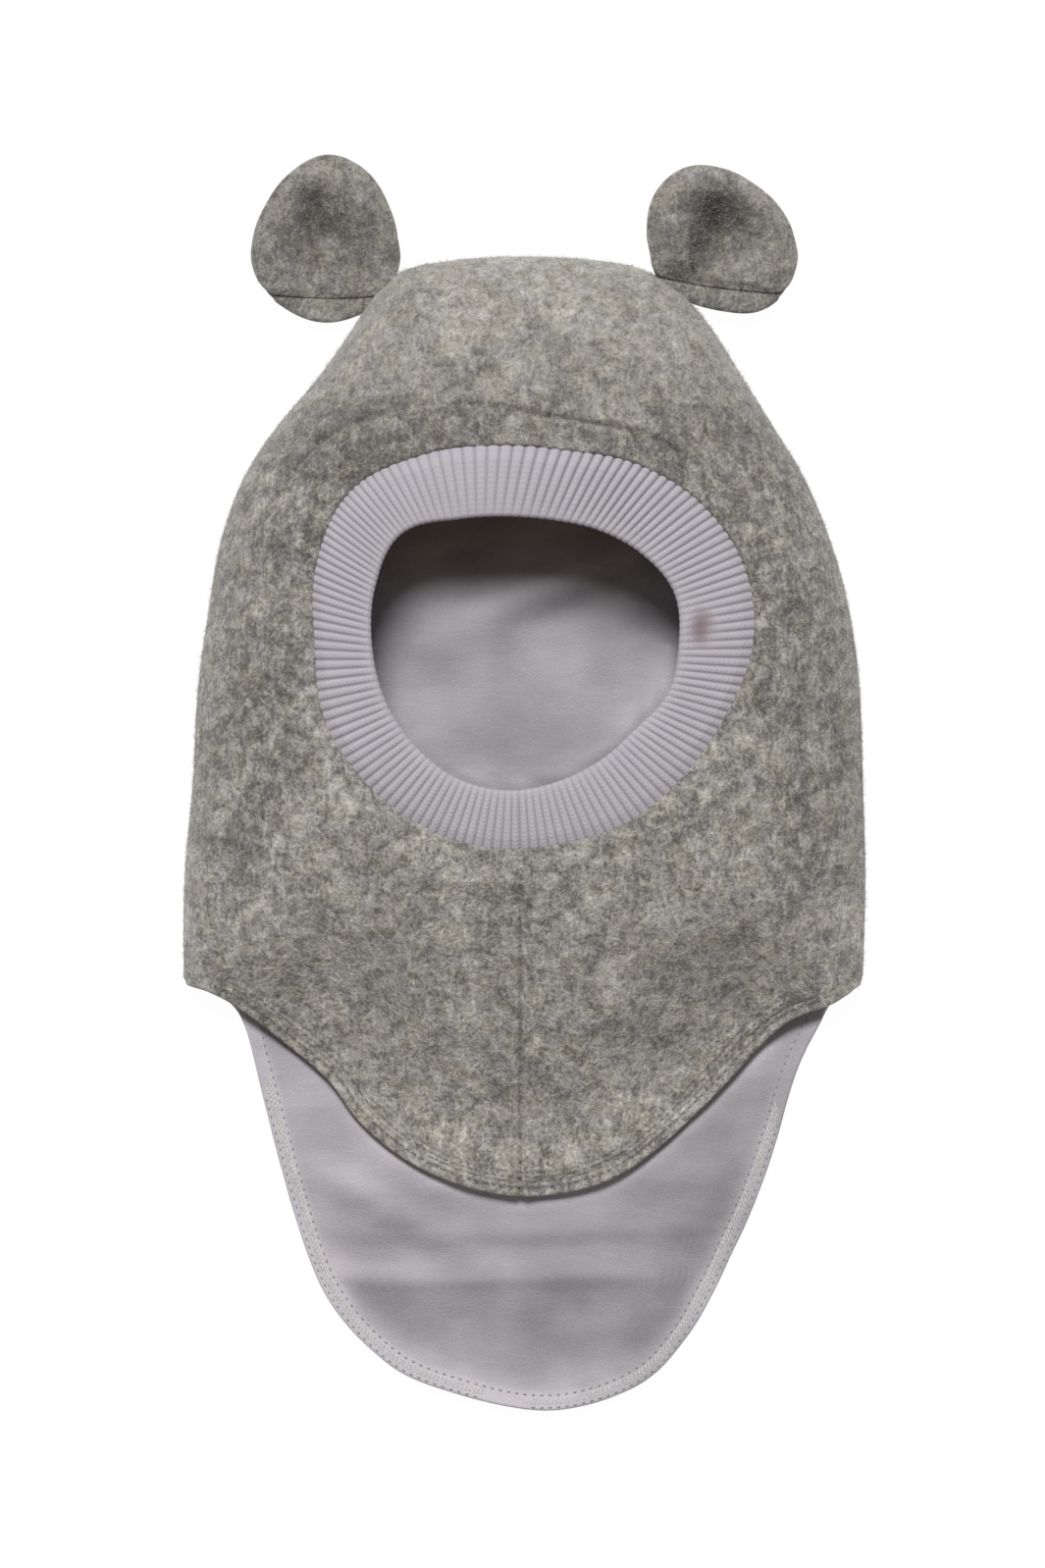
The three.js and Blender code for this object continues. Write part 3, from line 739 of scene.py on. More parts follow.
class Wire:
    """An output of a node; arithmetic on it adds Math nodes to its material."""

    def __init__(self, graph, socket):
        self.graph, self.socket = graph, socket

    __add__, __radd__ = arithmetic("ADD"), arithmetic("ADD", True)
    __sub__, __rsub__ = arithmetic("SUBTRACT"), arithmetic("SUBTRACT", True)
    __mul__, __rmul__ = arithmetic("MULTIPLY"), arithmetic("MULTIPLY", True)
    __truediv__, __rtruediv__ = arithmetic("DIVIDE"), arithmetic("DIVIDE", True)


class Graph:
    """The node tree of one new material."""

    def __init__(self, name):
        self.material = bpy.data.materials.new(name)
        self.material.use_nodes = True
        self.tree = self.material.node_tree
        self.tree.nodes.clear()

    def node(self, kind, inputs=None, output=0, **settings):
        """A node of this kind: its settings are made first, then its sockets are filled or linked."""
        made = self.tree.nodes.new(kind)
        for key, value in settings.items():
            setattr(made, key, value)
        for key, value in (inputs or {}).items():
            if isinstance(value, Wire):
                self.tree.links.new(value.socket, made.inputs[key])
            else:
                made.inputs[key].default_value = value
        return Wire(self, made.outputs[output]) if made.outputs else None

    def math(self, operation, *inputs):
        return self.node("ShaderNodeMath", dict(enumerate(inputs)), operation=operation)

    def vector(self, operation, *inputs, output=0):
        inputs = dict(enumerate(inputs))
        return self.node("ShaderNodeVectorMath", inputs, output, operation=operation)

    def place(self):
        """Points of the piece itself."""
        return self.node("ShaderNodeTexCoord", output="Object")

    def part(self, vector, axis):
        return self.node("ShaderNodeSeparateXYZ", {0: vector}, axis)

    def attribute(self, name):
        """A number that stamp() gave each point."""
        return self.node("ShaderNodeAttribute", attribute_name=name, output="Fac")

    def noise(self, place, scale, detail=2.0, roughness=0.5, distortion=0.0):
        inputs = {"Vector": place, "Scale": scale, "Detail": detail, "Roughness": roughness}
        return self.node("ShaderNodeTexNoise", {**inputs, "Distortion": distortion})

    def turned(self, place, rotation, scale):
        inputs = {"Vector": place, "Rotation": rotation, "Scale": scale}
        return self.node("ShaderNodeMapping", inputs)

    def step(self, value, low, high, start=0.0, end=1.0):
        """A smooth step of a value from start to end between low and high."""
        inputs = {"Value": value, "From Min": low, "From Max": high, "To Min": start, "To Max": end}
        return self.node("ShaderNodeMapRange", inputs, interpolation_type="SMOOTHSTEP")

    def ramp(self, tone, base, *stops):
        """A base colour made lighter or darker: each stop is a place on the ramp and a factor."""
        wire = self.node("ShaderNodeValToRGB", {"Fac": tone})
        elements = wire.socket.node.color_ramp.elements
        while len(elements) < len(stops):
            elements.new(0.5)
        for element, (position, factor) in zip(elements, stops):
            element.position, element.color = position, (*shade(base, factor), 1)
        return wire

    def mix(self, factor, first, second, blend="MIX"):
        """Two colours mixed, or blended, by a factor."""
        inputs = {0: factor, 6: first, 7: second}
        return self.node("ShaderNodeMix", inputs, 2, data_type="RGBA", blend_type=blend)

    def bump(self, height, distance, strength=1.0):
        inputs = {"Height": height, "Distance": distance, "Strength": strength}
        return self.node("ShaderNodeBump", inputs)

    def finish(self, colour, roughness, normal, sheen, sheen_roughness, sheen_tint):
        """Closes the tree with a cloth shader."""
        inputs = {
            "Base Color": colour, "Roughness": roughness, "Normal": normal,
            "Specular IOR Level": 0.2, "Sheen Weight": sheen, "Sheen Roughness": sheen_roughness,
            "Sheen Tint": (*sheen_tint, 1),
        }
        shader = self.node("ShaderNodeBsdfPrincipled", inputs)
        self.node("ShaderNodeOutputMaterial", {"Surface": shader})
        return self.material


def shade(colour, factor):
    """A colour made lighter or darker."""
    return tuple(min(1.0, channel * factor) for channel in colour)


def wool_material(settings):
    """Heather wool: light and dark fibres felted together in small curls, with patches of each."""
    g = Graph("heather_wool")
    place = g.place()
    wander = g.node("ShaderNodeTexNoise", {"Vector": place, "Scale": 160.0, "Detail": 2.0}, 1)
    warp = g.vector("MULTIPLY_ADD", wander, (0.006,) * 3, place)
    clouds = g.noise(place, 60.0, 3.0, 0.6)
    patches = g.noise(place, 240.0, 3.0, 0.65, 0.5)
    specks = g.noise(place, 900.0, 3.0, 0.7)
    curls = []
    for turn, fine in ((0.3, 640.0), (1.35, 760.0), (2.4, 700.0)):
        lying = g.turned(warp, (0.35 * turn, 0.6, turn), (fine, 120.0, fine))
        curls.append(g.noise(lying, 1.0))
    felt = g.math("MAXIMUM", g.math("MAXIMUM", curls[0], curls[1]), curls[2])
    tone = (clouds - 0.5) * 0.62 + (patches - 0.5) * 1.15 + (specks - 0.5) * 1.15
    tone = tone + (felt - 0.56) * 0.9
    calm = g.step(g.part(place, "Y"), 0.08, 0.13, 1.0, 0.74)
    # Painted shade and highlight: the stamped number darkens the wool where it is above 0 and lightens
    # it below.
    tone = tone * calm + 0.5 - g.attribute("painted_shade") * 0.42
    shades = ((0.0, 0.26), (0.28, 0.55), (0.5, 0.98), (0.72, 1.42), (1.0, 2.1))
    colour = g.ramp(tone, settings.wool, *shades)
    warm = g.step(g.noise(warp, 120.0, 3.0, 0.6), 0.42, 0.66)
    colour = g.mix(warm, colour, (1.03, 1.0, 0.915, 1), "MULTIPLY")
    cool = g.step(g.noise(warp, 100.0, 3.0, 0.6), 0.58, 0.38)
    colour = g.mix(cool * 0.8, colour, (0.975, 1.005, 1.03, 1), "MULTIPLY")
    height = (patches - 0.5) * 0.9 + (felt - 0.5) * 0.5 + (specks - 0.5) * 0.4
    return g.finish(colour, 0.92, g.bump(height, 0.0013, 0.9), 0.4, 0.55, (0.8, 0.78, 0.75))


def velour_material(settings):
    """Lavender-grey velour: a short soft pile with clouds where it was stroked, and painted
    light and shade.
    """
    g = Graph("lavender_velour")
    place = g.place()
    clouds = g.noise(place, 34.0, 3.0)
    strokes = g.noise(g.turned(place, (0, 0, 0.3), (60.0, 170.0, 60.0)), 1.0)
    pile = g.noise(place, 1700.0, 2.0, 0.6)
    tone = (clouds - 0.5) * 0.8 + (strokes - 0.5) * 0.3 + (pile - 0.5) * 0.4
    # Painted light and shade, stamped on the lining's points, lightens or darkens the pile.
    tone = tone + g.attribute("lean")
    colour = g.ramp(tone, settings.velour, (0.0, 0.62), (0.5, 1.0), (1.0, 1.42))
    warm = g.step(g.noise(place, 55.0), 0.45, 0.65)
    colour = g.mix(warm * 0.7, colour, (1.02, 0.99, 0.98, 1), "MULTIPLY")
    # Painted shade, warm as with light from the wool: the velour darkens deep inside the hood towards
    # the crown.
    crown_shade = g.step(g.part(place, "Y"), 0.052, 0.078)
    colour = g.mix(crown_shade, colour, (0.82, 0.7, 0.6, 1), "MULTIPLY")
    normal = g.bump((pile - 0.5) * 0.5 + (strokes - 0.5) * 0.6, 0.0006, 0.8)
    return g.finish(colour, 0.85, normal, 0.35, 0.4, (0.9, 0.88, 0.95))


def knit_material(settings):
    """Rib knit: columns of small loops with painted shade in the grooves, and one pressed
    place that is darker and browner.
    """
    g = Graph("lavender_rib_knit")
    place = g.place()
    knit = g.node("ShaderNodeUVMap", uv_map="knit")
    off_middle = g.math("ABSOLUTE", g.math("FRACT", g.part(knit, "X")) - 0.5)
    loop = g.math("FRACT", g.part(knit, "Y") + off_middle * 1.1)
    rounded = g.math("SINE", loop * math.pi)
    groove = g.step(off_middle, 0.24, 0.47)
    yarn = g.noise(place, 1500.0, 2.0, 0.6)
    clouds = g.noise(place, 90.0)
    tone = (clouds - 0.5) * 0.35 + (yarn - 0.5) * 0.3 + (rounded - 0.6) * 0.07 + 0.5
    colour = g.ramp(tone, settings.knit, (0.0, 0.8), (0.5, 1.0), (1.0, 1.22))
    # Painted shade: the grooves between the ribs are darkened, most where the ribs stand high.
    colour = g.mix(groove * g.attribute("depth") * 0.8, colour, (0.21, 0.19, 0.22, 1))
    # A darker, browner spot where the cuff's ribs lie pressed flat.
    from_place = g.vector("ADD", place, (-PRESSED["x"] * MM, -PRESSED["y"] * MM, 0))
    spread = (1 / (PRESSED["width"] * MM), 1 / (PRESSED["height"] * MM), 0)
    near = g.vector("LENGTH", g.vector("MULTIPLY", from_place, spread), output="Value")
    local_tone = g.step(near + (clouds - 0.5) * 0.9, 1.15, 0.25)
    colour = g.mix(local_tone * 0.9, colour, (0.2, 0.145, 0.15, 1))
    height = rounded * 0.25 * (1 - groove) + (yarn - 0.5) * 0.4
    return g.finish(colour, 0.85, g.bump(height, 0.0003, 0.9), 0.2, 0.5, (0.9, 0.88, 0.95))


def thread_material(settings, name="grey_thread", base=None):
    """Sewing thread: plies laid slantwise round the thread."""
    g = Graph(name)
    plies = g.noise(g.place(), 1400.0)
    colour = g.ramp(plies, base or settings.seam_thread, (0.2, 0.6), (0.8, 1.3))
    return g.finish(colour, 0.6, g.bump(plies, 0.0002), 0.1, 0.5, (1, 1, 1))


def row_material(settings):
    """The thread of the flap's two rows, a paler one than on the wool."""
    return thread_material(settings, "row_thread", shade(settings.seam_thread, 1.9))


def looper_material(settings):
    """The fluffier, paler thread of the looper on the flap's inside."""
    return thread_material(settings, "looper_thread", settings.looper_thread)


def fibre_material(settings):
    """Single fibres, each with the shade that its tone attribute gives."""
    g = Graph("wool_fibre")
    colour = g.ramp(g.attribute("tone"), settings.wool, (0.0, 0.35), (0.5, 1.1), (1.0, 2.2))
    normal = g.node("ShaderNodeNewGeometry", output="Normal")
    return g.finish(colour, 0.7, normal, 0.3, 0.5, (1, 1, 1))


def stamp(piece, name, values):
    """Gives each point of a piece a number that its material reads."""
    layer = piece.data.attributes.new(name, "FLOAT", "POINT")
    layer.data.foreach_set("value", np.asarray(values, np.float32))


def material(name, maker):
    """A material by name, made the first time it is asked for."""
    return bpy.data.materials.get(name) or maker(bpy.context.scene.baby_hat)


def dress(piece, name, maker, slot, *nodes):
    """Gives a piece its material and place in the frame, and hides the CAD nodes it stands for."""
    piece.data.materials.append(material(name, maker))
    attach(piece, "root")
    if nodes:
        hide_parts(*nodes)
    return piece


# ---- Pieces ----
SHELL_ROWS = {"hood_spokes": 210, "hem_spokes": 116, "ring": 21, "field": 28, "hem": 18,
              "roll": 11, "flap": 16, "side": 3, "middle": 4}
LINING_ROWS = {"hood_spokes": 140, "hem_spokes": 190, "ring": 4, "field": 8, "hem": 6,
               "roll": 14, "flap": 72, "side": 4, "middle": 26}


def build_shell():
    surface = used_only(hood_surface(SHELL_ROWS, 0.5 * WOOL, WOOL_TRIM, wool_relief))
    return surface, surface.thicken(0, WOOL)


def build_lining():
    surface = hood_surface(LINING_ROWS, LINING_START, VELOUR_TRIM, lining_dip)
    surface = lining_relief(used_only(surface))
    return surface, surface.thicken(WOOL + GAP, WOOL + GAP + VELOUR)


class HAT_OT_outer_shell(bpy.types.Operator):
    """The wool fleece hood with its bib and flap."""

    bl_idname = "hat.outer_shell"
    bl_label = "Wool shell"

    def execute(self, context):
        surface = build_shell()[1]
        piece = surface.mesh("wool_shell")
        # The wool's painted shade and highlight, as a number at each point.
        stamp(piece, "painted_shade", wool_painted_shade(surface))
        dress(piece, "heather_wool", wool_material, "wool_fleece", "outer_shell")
        return {"FINISHED"}


class HAT_OT_lining(bpy.types.Operator):
    """The velour lining, seen through the face opening and on the flap."""

    bl_idname = "hat.lining"
    bl_label = "Velour lining"

    def execute(self, context):
        surface = build_lining()[1]
        piece = surface.mesh("velour_lining")
        # The velour's painted light and shade, as a number at each point.
        stamp(piece, "lean", painted_velour_light(*surface.points.T[:2]))
        dress(piece, "lavender_velour", velour_material, "velour", "lining")
        return {"FINISHED"}


def evenly_by_length(reach, radius_shift, start, count):
    """Plan points at even steps round the stretched cuff, anticlockwise from a direction."""
    angle = np.linspace(start, start + 360, 2881)
    x, y = polar(angle, reach(angle) + radius_shift)
    stretch = around(CUFF, "stretch")(angle[1:])
    length = np.concatenate([[0], np.cumsum(np.hypot(np.diff(x), np.diff(y)) / stretch)])
    wanted = np.linspace(0, length[-1], count, endpoint=False)
    return np.stack([np.interp(wanted, length, x), np.interp(wanted, length, y)], axis=-1)


def rib_surface(rib_count, rib_height):
    """The cuff: a band folded double, its ribs running over the fold at the inner edge."""
    per_rib, half = CUFF_ROWS["per_rib"], 0.5 * RIB
    count = rib_count * per_rib
    inner = evenly_by_length(cuff_inner, half, CUFF_START["inner"], count)
    outer = evenly_by_length(cuff_outer, 0.9 - half, CUFF_START["outer"], count)
    share = np.linspace(1, 0, CUFF_ROWS["face"])[:, None]
    plan = lerp(inner, outer, share[..., None])
    x, y = plan[..., 0], plan[..., 1]
    height = front_height(x, y) - CUFF_DIP * (1 - share) ** 2 - CUFF_UNDER
    height = height + seam_dip(CUFF_BAND * (1 - share) / 0.45, spoke(x, y)[0])
    top = np.concatenate([plan, height[..., None]], axis=-1)
    outward = -np.gradient(top, axis=0)
    normal = np.cross(outward, np.roll(top, -per_rib, axis=1) - np.roll(top, per_rib, axis=1))
    normal *= np.sign(normal[..., 2:])
    normal /= np.linalg.norm(normal, axis=-1, keepdims=True)
    outward /= np.linalg.norm(outward, axis=-1, keepdims=True)
    middle = top - normal * half
    along_face = share[:, 0] * CUFF_BAND
    turns = np.linspace(0, math.pi, CUFF_ROWS["fold"])[1:-1]
    rows, ways, runs = [middle], [normal], [along_face]
    for turn in turns:
        rows.append(middle[-1:])
        ways.append(normal[-1:] * math.cos(turn) - outward[-1:] * math.sin(turn))
        runs.append([-half * turn])
    behind = slice(None, None, -CUFF_ROWS["behind"])
    rows.append(middle[behind])
    ways.append(-normal[behind])
    runs.append(-half * math.pi - along_face[behind])
    for turn in turns:
        rows.append(middle[:1])
        ways.append(-normal[:1] * math.cos(turn) + outward[:1] * math.sin(turn))
        runs.append([30.0 - half * (math.pi - turn)])
    middle, ways, runs = np.vstack(rows), np.vstack(ways), np.concatenate(runs)
    x, y = middle[..., 0], middle[..., 1]
    across = np.arange(count) / per_rib
    ribs = np.abs(np.sin(math.pi * across)) ** 0.7
    ribs = ribs - 0.8 * bell(np.minimum(across, rib_count - across), 0, 0.3)
    pressed = bell(x, PRESSED["x"], PRESSED["width"]) * bell(y, PRESSED["y"], PRESSED["height"])
    at_fold = bell(np.arange(len(runs)), CUFF_ROWS["face"] + 2.5, 5.0)
    direction = spoke(x, y)[0]
    flatter = sum(row["amount"] * bell(direction, row["angle"], row["width"]) for row in CUFF_FLATTER)
    even = (1 - 0.8 * pressed - flatter) * (1 - 0.75 * at_fold)[:, None]
    points = middle + ways * (half + (ribs - 0.75) * rib_height * even)[..., None]
    return points, across, runs, even


def knit_map(mesh, rib_count, across, runs):
    """A UV map that counts ribs across and loops along them."""
    layer = mesh.uv_layers.new(name="knit")
    number = np.zeros(len(mesh.loops), int)
    mesh.loops.foreach_get("vertex_index", number)
    row, col = number // len(across), number % len(across)
    u = across[col].reshape(-1, 4)
    u = np.where(u.max(axis=1, keepdims=True) - u > 0.5 * rib_count, u + rib_count, u).ravel()
    v = (runs[row] / KNIT_LOOP).reshape(-1, 4)
    v = np.where(v.max(axis=1, keepdims=True) - v > 4, v.max(axis=1, keepdims=True), v).ravel()
    layer.data.foreach_set("uv", np.stack([u, v], axis=-1).ravel())


class HAT_OT_face_rib(bpy.types.Operator):
    """The rib-knit cuff round the face opening."""

    bl_idname = "hat.face_rib"
    bl_label = "Face cuff"

    def execute(self, context):
        settings = context.scene.baby_hat
        points, across, runs, depth = rib_surface(settings.rib_count, settings.rib_height / MM)
        numbers = np.arange(points[..., 0].size).reshape(points.shape[:2])
        faces = grid_faces(np.vstack([numbers, numbers[:1]]))
        piece = Surface(points.reshape(-1, 3), [faces]).mesh("rib_cuff")
        knit_map(piece.data, settings.rib_count, across, runs)
        stamp(piece, "depth", depth.ravel())
        dress(piece, "lavender_rib_knit", knit_material, "rib_knit", "face_rib")
        return {"FINISHED"}


def ear_reach(side, angle):
    """Radius of an ear's outline, drawn out a little where it is sewn to the crown."""
    off_base = (angle - EAR_SIDES[side]["base"] + 180) % 360 - 180
    return around(EAR_RIM, side)(angle) + EAR["base_reach"] * bell(off_base, 0, 28)


def leaning_rim(x, y):
    """Height that the right ear's rim gains where it leans over the cup beside it."""
    step = EAR_STEP
    lean = 1 - smoothstep(x, step["place"], step["place"] + step["width"])
    above = smoothstep(y, step["bottom"], step["bottom"] + 2 * step["fade"])
    below = 1 - smoothstep(y, step["top"], step["top"] + step["fade"])
    return step["height"] * lean * above * below * smoothstep(x, -20, -13)


def off_strip_line(facts, x, y):
    """How far a point lies above the line where an ear's front layer ends."""
    return y - facts["level"] - facts["slope"] * x


def ear_surface(side, layer):
    """An ear's upper face: a shallow cup, with soft folds in its front layer."""
    facts = EAR_SIDES[side]
    angle = np.linspace(0, 360, EAR["spokes"], endpoint=False)
    reach = ear_reach(side, angle)
    rolled = smoothstep(off_strip_line(facts, *polar(angle, reach, (0, 0))), 1, 13)
    reach = reach - 0.5 * WOOL * (1 - 1.5 * rolled)
    if layer == "front":
        falling = np.sin(np.radians(angle)) - facts["slope"] * np.cos(np.radians(angle))
        line = np.where(falling < -0.05, (facts["level"] + 0.3) / np.minimum(falling, -0.05), 99)
        reach = -2.0 * np.log(np.exp(-reach / 2.0) + np.exp(-line / 2.0))
    else:
        reach = reach - 1.2 * rolled
    share = np.linspace(0, 1, EAR["rings"] + 1)[1:, None]
    x, y = polar(angle, share * reach, (0, 0))
    full = np.minimum(np.hypot(x, y) / ear_reach(side, angle), 1)
    rim = around(EAR_RIM, f"{side}_rim")(angle) * EAR_LIP["gain"]
    to_lip = np.minimum(full / EAR_LIP["share"], 1)
    past_lip = np.maximum(full - EAR_LIP["share"], 0) / (1 - EAR_LIP["share"])
    cup = EAR["floor"] + rim * to_lip**2 * (2 - to_lip**2)
    roll = lerp(EAR_STRIP["roll"], EAR_LIP["roll"], rolled)
    cup = cup - roll * (1 - np.sqrt(1 - 0.88 * past_lip**2))
    fade = 1 - smoothstep(full, 0.7, 0.95)
    folds = folds_at(EAR_FOLDS[side], x, y) * fade
    if side == "right":
        folds = folds + leaning_rim(x, y)
    off_strip = off_strip_line(facts, x, y)
    above = smoothstep(off_strip, -0.5, EAR_STRIP["ease"])
    height = cup + (folds + waves(x, y, 9, 0.15)) * above
    points = np.stack([x + facts["x"], y + EAR["y"], height], axis=-1).reshape(-1, 3)
    numbers = np.arange(len(points)).reshape(x.shape)
    first = numbers[0]
    middle = points[first].mean(axis=0)
    fan = np.stack([np.full(len(first), len(points)), first, np.roll(first, -1)], axis=1)
    return Surface(np.vstack([points, [middle]]), [grid_faces(numbers), fan])


def ear_painted_shade(side, surface):
    """Painted shade on an ear's wool: darker in its cup, its folds, along the strip's line and in
    the right ear's crease, with a painted highlight where its rim turns away.
    """
    facts = EAR_SIDES[side]
    x, y = surface.points[:, 0] - facts["x"], surface.points[:, 1] - EAR["y"]
    full = np.hypot(x, y) / ear_reach(side, np.degrees(np.arctan2(y, x)))
    cup = 0.3 * (1 - smoothstep(full, 0.2, 0.8)) + 0.2
    folds = 0.3 * np.clip(-folds_at(EAR_FOLDS[side], x, y), 0, 1.6) * (1 - smoothstep(full, 0.7, 0.95))
    strip = 0.12 * bell(off_strip_line(facts, x, y), 0, 0.9)
    crease = 0
    if side == "right":
        step = np.maximum(leaning_rim(x - 0.3, y) - leaning_rim(x + 1.1, y), 0)
        crease = 3.6 * step / EAR_STEP["height"]
    rim = 0.4 * edge_highlight(surface.normals()[:, 2]) * smoothstep(full, 0.85, 0.98)
    return np.clip(cup + folds + strip + crease - rim, -1, 2.2)


def ear_depths(layer, off_strip):
    """How deep an ear layer's two faces lie at each point: both layers meet flush at the strip."""
    if layer == "front":
        return EAR_STRIP["thinned"] * (1 - smoothstep(off_strip, 0, 3)), WOOL
    risen = (WOOL + GAP - EAR_STRIP["thinned"] - 0.2) * (1 - smoothstep(off_strip, -0.6, 0.3))
    return WOOL + GAP - risen, 2 * WOOL + GAP


class HAT_OT_ears(bpy.types.Operator):
    """The ears, each of a front and a back layer of wool."""

    bl_idname = "hat.ears"
    bl_label = "Ears"

    def execute(self, context):
        for side in EAR_SIDES:
            for layer in EAR_LAYERS:
                surface = ear_surface(side, layer)
                x, y, _ = surface.points.T
                off_strip = off_strip_line(EAR_SIDES[side], x - EAR_SIDES[side]["x"], y - EAR["y"])
                surface = surface.thicken(*ear_depths(layer, off_strip[:, None]))
                piece = surface.mesh(f"ear_{side}_{layer}_wool")
                # The ear's painted shade and highlight, as a number at each point.
                stamp(piece, "painted_shade", ear_painted_shade(side, surface))
                dress(piece, "heather_wool", wool_material, "wool_fleece", f"ear_{side}_{layer}")
        return {"FINISHED"}


def stitch_form():
    """One stitch, a millimetre long: a ball drawn out, with its ends bent down into the cloth."""
    bpy.ops.object.select_all(action="DESELECT")
    bpy.ops.mesh.primitive_uv_sphere_add(segments=6, ring_count=5, radius=0.5)
    form = bpy.context.object
    bpy.ops.object.mode_set(mode="EDIT")
    bpy.ops.mesh.select_all(action="SELECT")
    bpy.ops.transform.rotate(value=0.5 * math.pi, orient_axis="Y", center_override=(0, 0, 0))
    bpy.ops.mesh.quads_convert_to_tris()
    bpy.ops.object.mode_set(mode="OBJECT")
    points = np.array([v.co for v in form.data.vertices], float)
    faces = np.array([p.vertices for p in form.data.polygons], int)
    bpy.data.objects.remove(form)
    return points, faces


def sew(name, stitches, thread):
    """Joined copies of the stitch form, one from each start to each end, on the given normals."""
    form, corners = stitch_form()
    start, end, up = (np.array(part, float) for part in zip(*stitches))
    way = end - start
    length = np.linalg.norm(way, axis=1, keepdims=True)
    way = way / length
    side = np.cross(up, way)
    side /= np.linalg.norm(side, axis=1, keepdims=True)
    up = np.cross(way, side)
    x, y, z = form[:, 0], form[:, 1] * thread, form[:, 2] * thread
    drop = -2.2 * thread * (2 * x) ** 4
    points = (
        (0.5 * (start + end))[:, None]
        + way[:, None] * (x[None, :] * length)[..., None]
        + side[:, None] * y[None, :, None]
        + up[:, None] * (z + drop + 0.35 * thread)[None, :, None]
    )
    faces = corners[None] + (np.arange(len(points)) * len(form))[:, None, None]
    return Surface(points.reshape(-1, 3), [faces.reshape(-1, 3)]).mesh(name)


def hem_lines(skin, hem_reach, insets, stitch):
    """Spots at even stitches along a hem, one row of them for each distance inside its edge."""
    angle = np.linspace(CORNER["left"] + 3, CORNER["right"] + 357, 4000)
    lean = hem_slant(hem_reach, angle)
    x, y = polar(angle, hem_reach(angle) - np.mean(insets) * lean)
    length = np.concatenate([[0], np.cumsum(np.hypot(np.diff(x), np.diff(y)))])
    wanted = np.interp(np.arange(0, length[-1], stitch), length, angle)
    leans = np.interp(wanted, angle, lean)
    return [skin.at(*polar(wanted, hem_reach(wanted) - inset * leans)) for inset in insets]


class Skin:
    """Looks up the height and normal of a surface's upper side under a plan point."""

    def __init__(self, surface, depth, upwards):
        normals = surface.normals()
        points = surface.points - normals * depth
        faces = [corner for corners in surface.faces for corner in corners.tolist()]
        keep = [face for face in faces if upwards * normals[face[0], 2] > 0.1]
        self.tree = BVHTree.FromPolygons(points.tolist(), keep)

    def at(self, x, y):
        """(point, normal) pairs for arrays of plan points; None where there is no cloth."""
        found = []
        for px, py in zip(x, y):
            hit, normal, _, _ = self.tree.ray_cast(Vector((px, py, 100)), Vector((0, 0, -1)))
            if hit is None:
                found.append(None)
                continue
            normal = normal if normal.z > 0 else -normal
            found.append((np.array(hit), np.array(normal)))
        return found


def row_of_stitches(spots, share):
    """One stitch between each two neighbouring spots, covering this share of the way."""
    stitches = []
    for a, b in zip(spots, spots[1:]):
        if a is None or b is None:
            continue
        way = b[0] - a[0]
        middle = 0.5 * (a[0] + b[0])
        stitches.append((middle - 0.5 * share * way, middle + 0.5 * share * way, a[1]))
    return stitches


class HAT_OT_stitches(bpy.types.Operator):
    """The hem stitches: two rows on the bib, and two rows with the looper's zigzag on the flap."""

    bl_idname = "hat.stitches"
    bl_label = "Stitches"

    def execute(self, context):
        settings = context.scene.baby_hat
        stitch, thread = settings.stitch_length / MM, settings.thread / MM
        skin = Skin(build_shell()[0], 0, 1)
        rows = []
        for spots in hem_lines(skin, bib_reach, HEM_LINES, stitch):
            rows += row_of_stitches(spots, 0.78)
        piece = sew("bib_hem_stitches", rows, thread)
        dress(piece, "grey_thread", thread_material, "wool_fleece")
        skin = Skin(build_lining()[0], WOOL + GAP + VELOUR, -1)
        outer, inner = hem_lines(skin, flap_reach, LOOPER_LINES, 0.5 * stitch)
        rows = row_of_stitches(outer[::2], 0.7) + row_of_stitches(inner[::2], 0.7)
        piece = sew("flap_hem_stitches", rows, thread)
        dress(piece, "row_thread", row_material, "velour")
        rows = []
        for i in range(len(outer) - 1):
            for a, b in ((outer[i], inner[i + 1]), (inner[i], outer[i + 1])):
                if a is not None and b is not None:
                    rows.append((a[0], b[0], a[1]))
        piece = sew("flap_hem_loops", rows, 0.7 * thread)
        dress(piece, "looper_thread", looper_material, "velour")
        return {"FINISHED"}


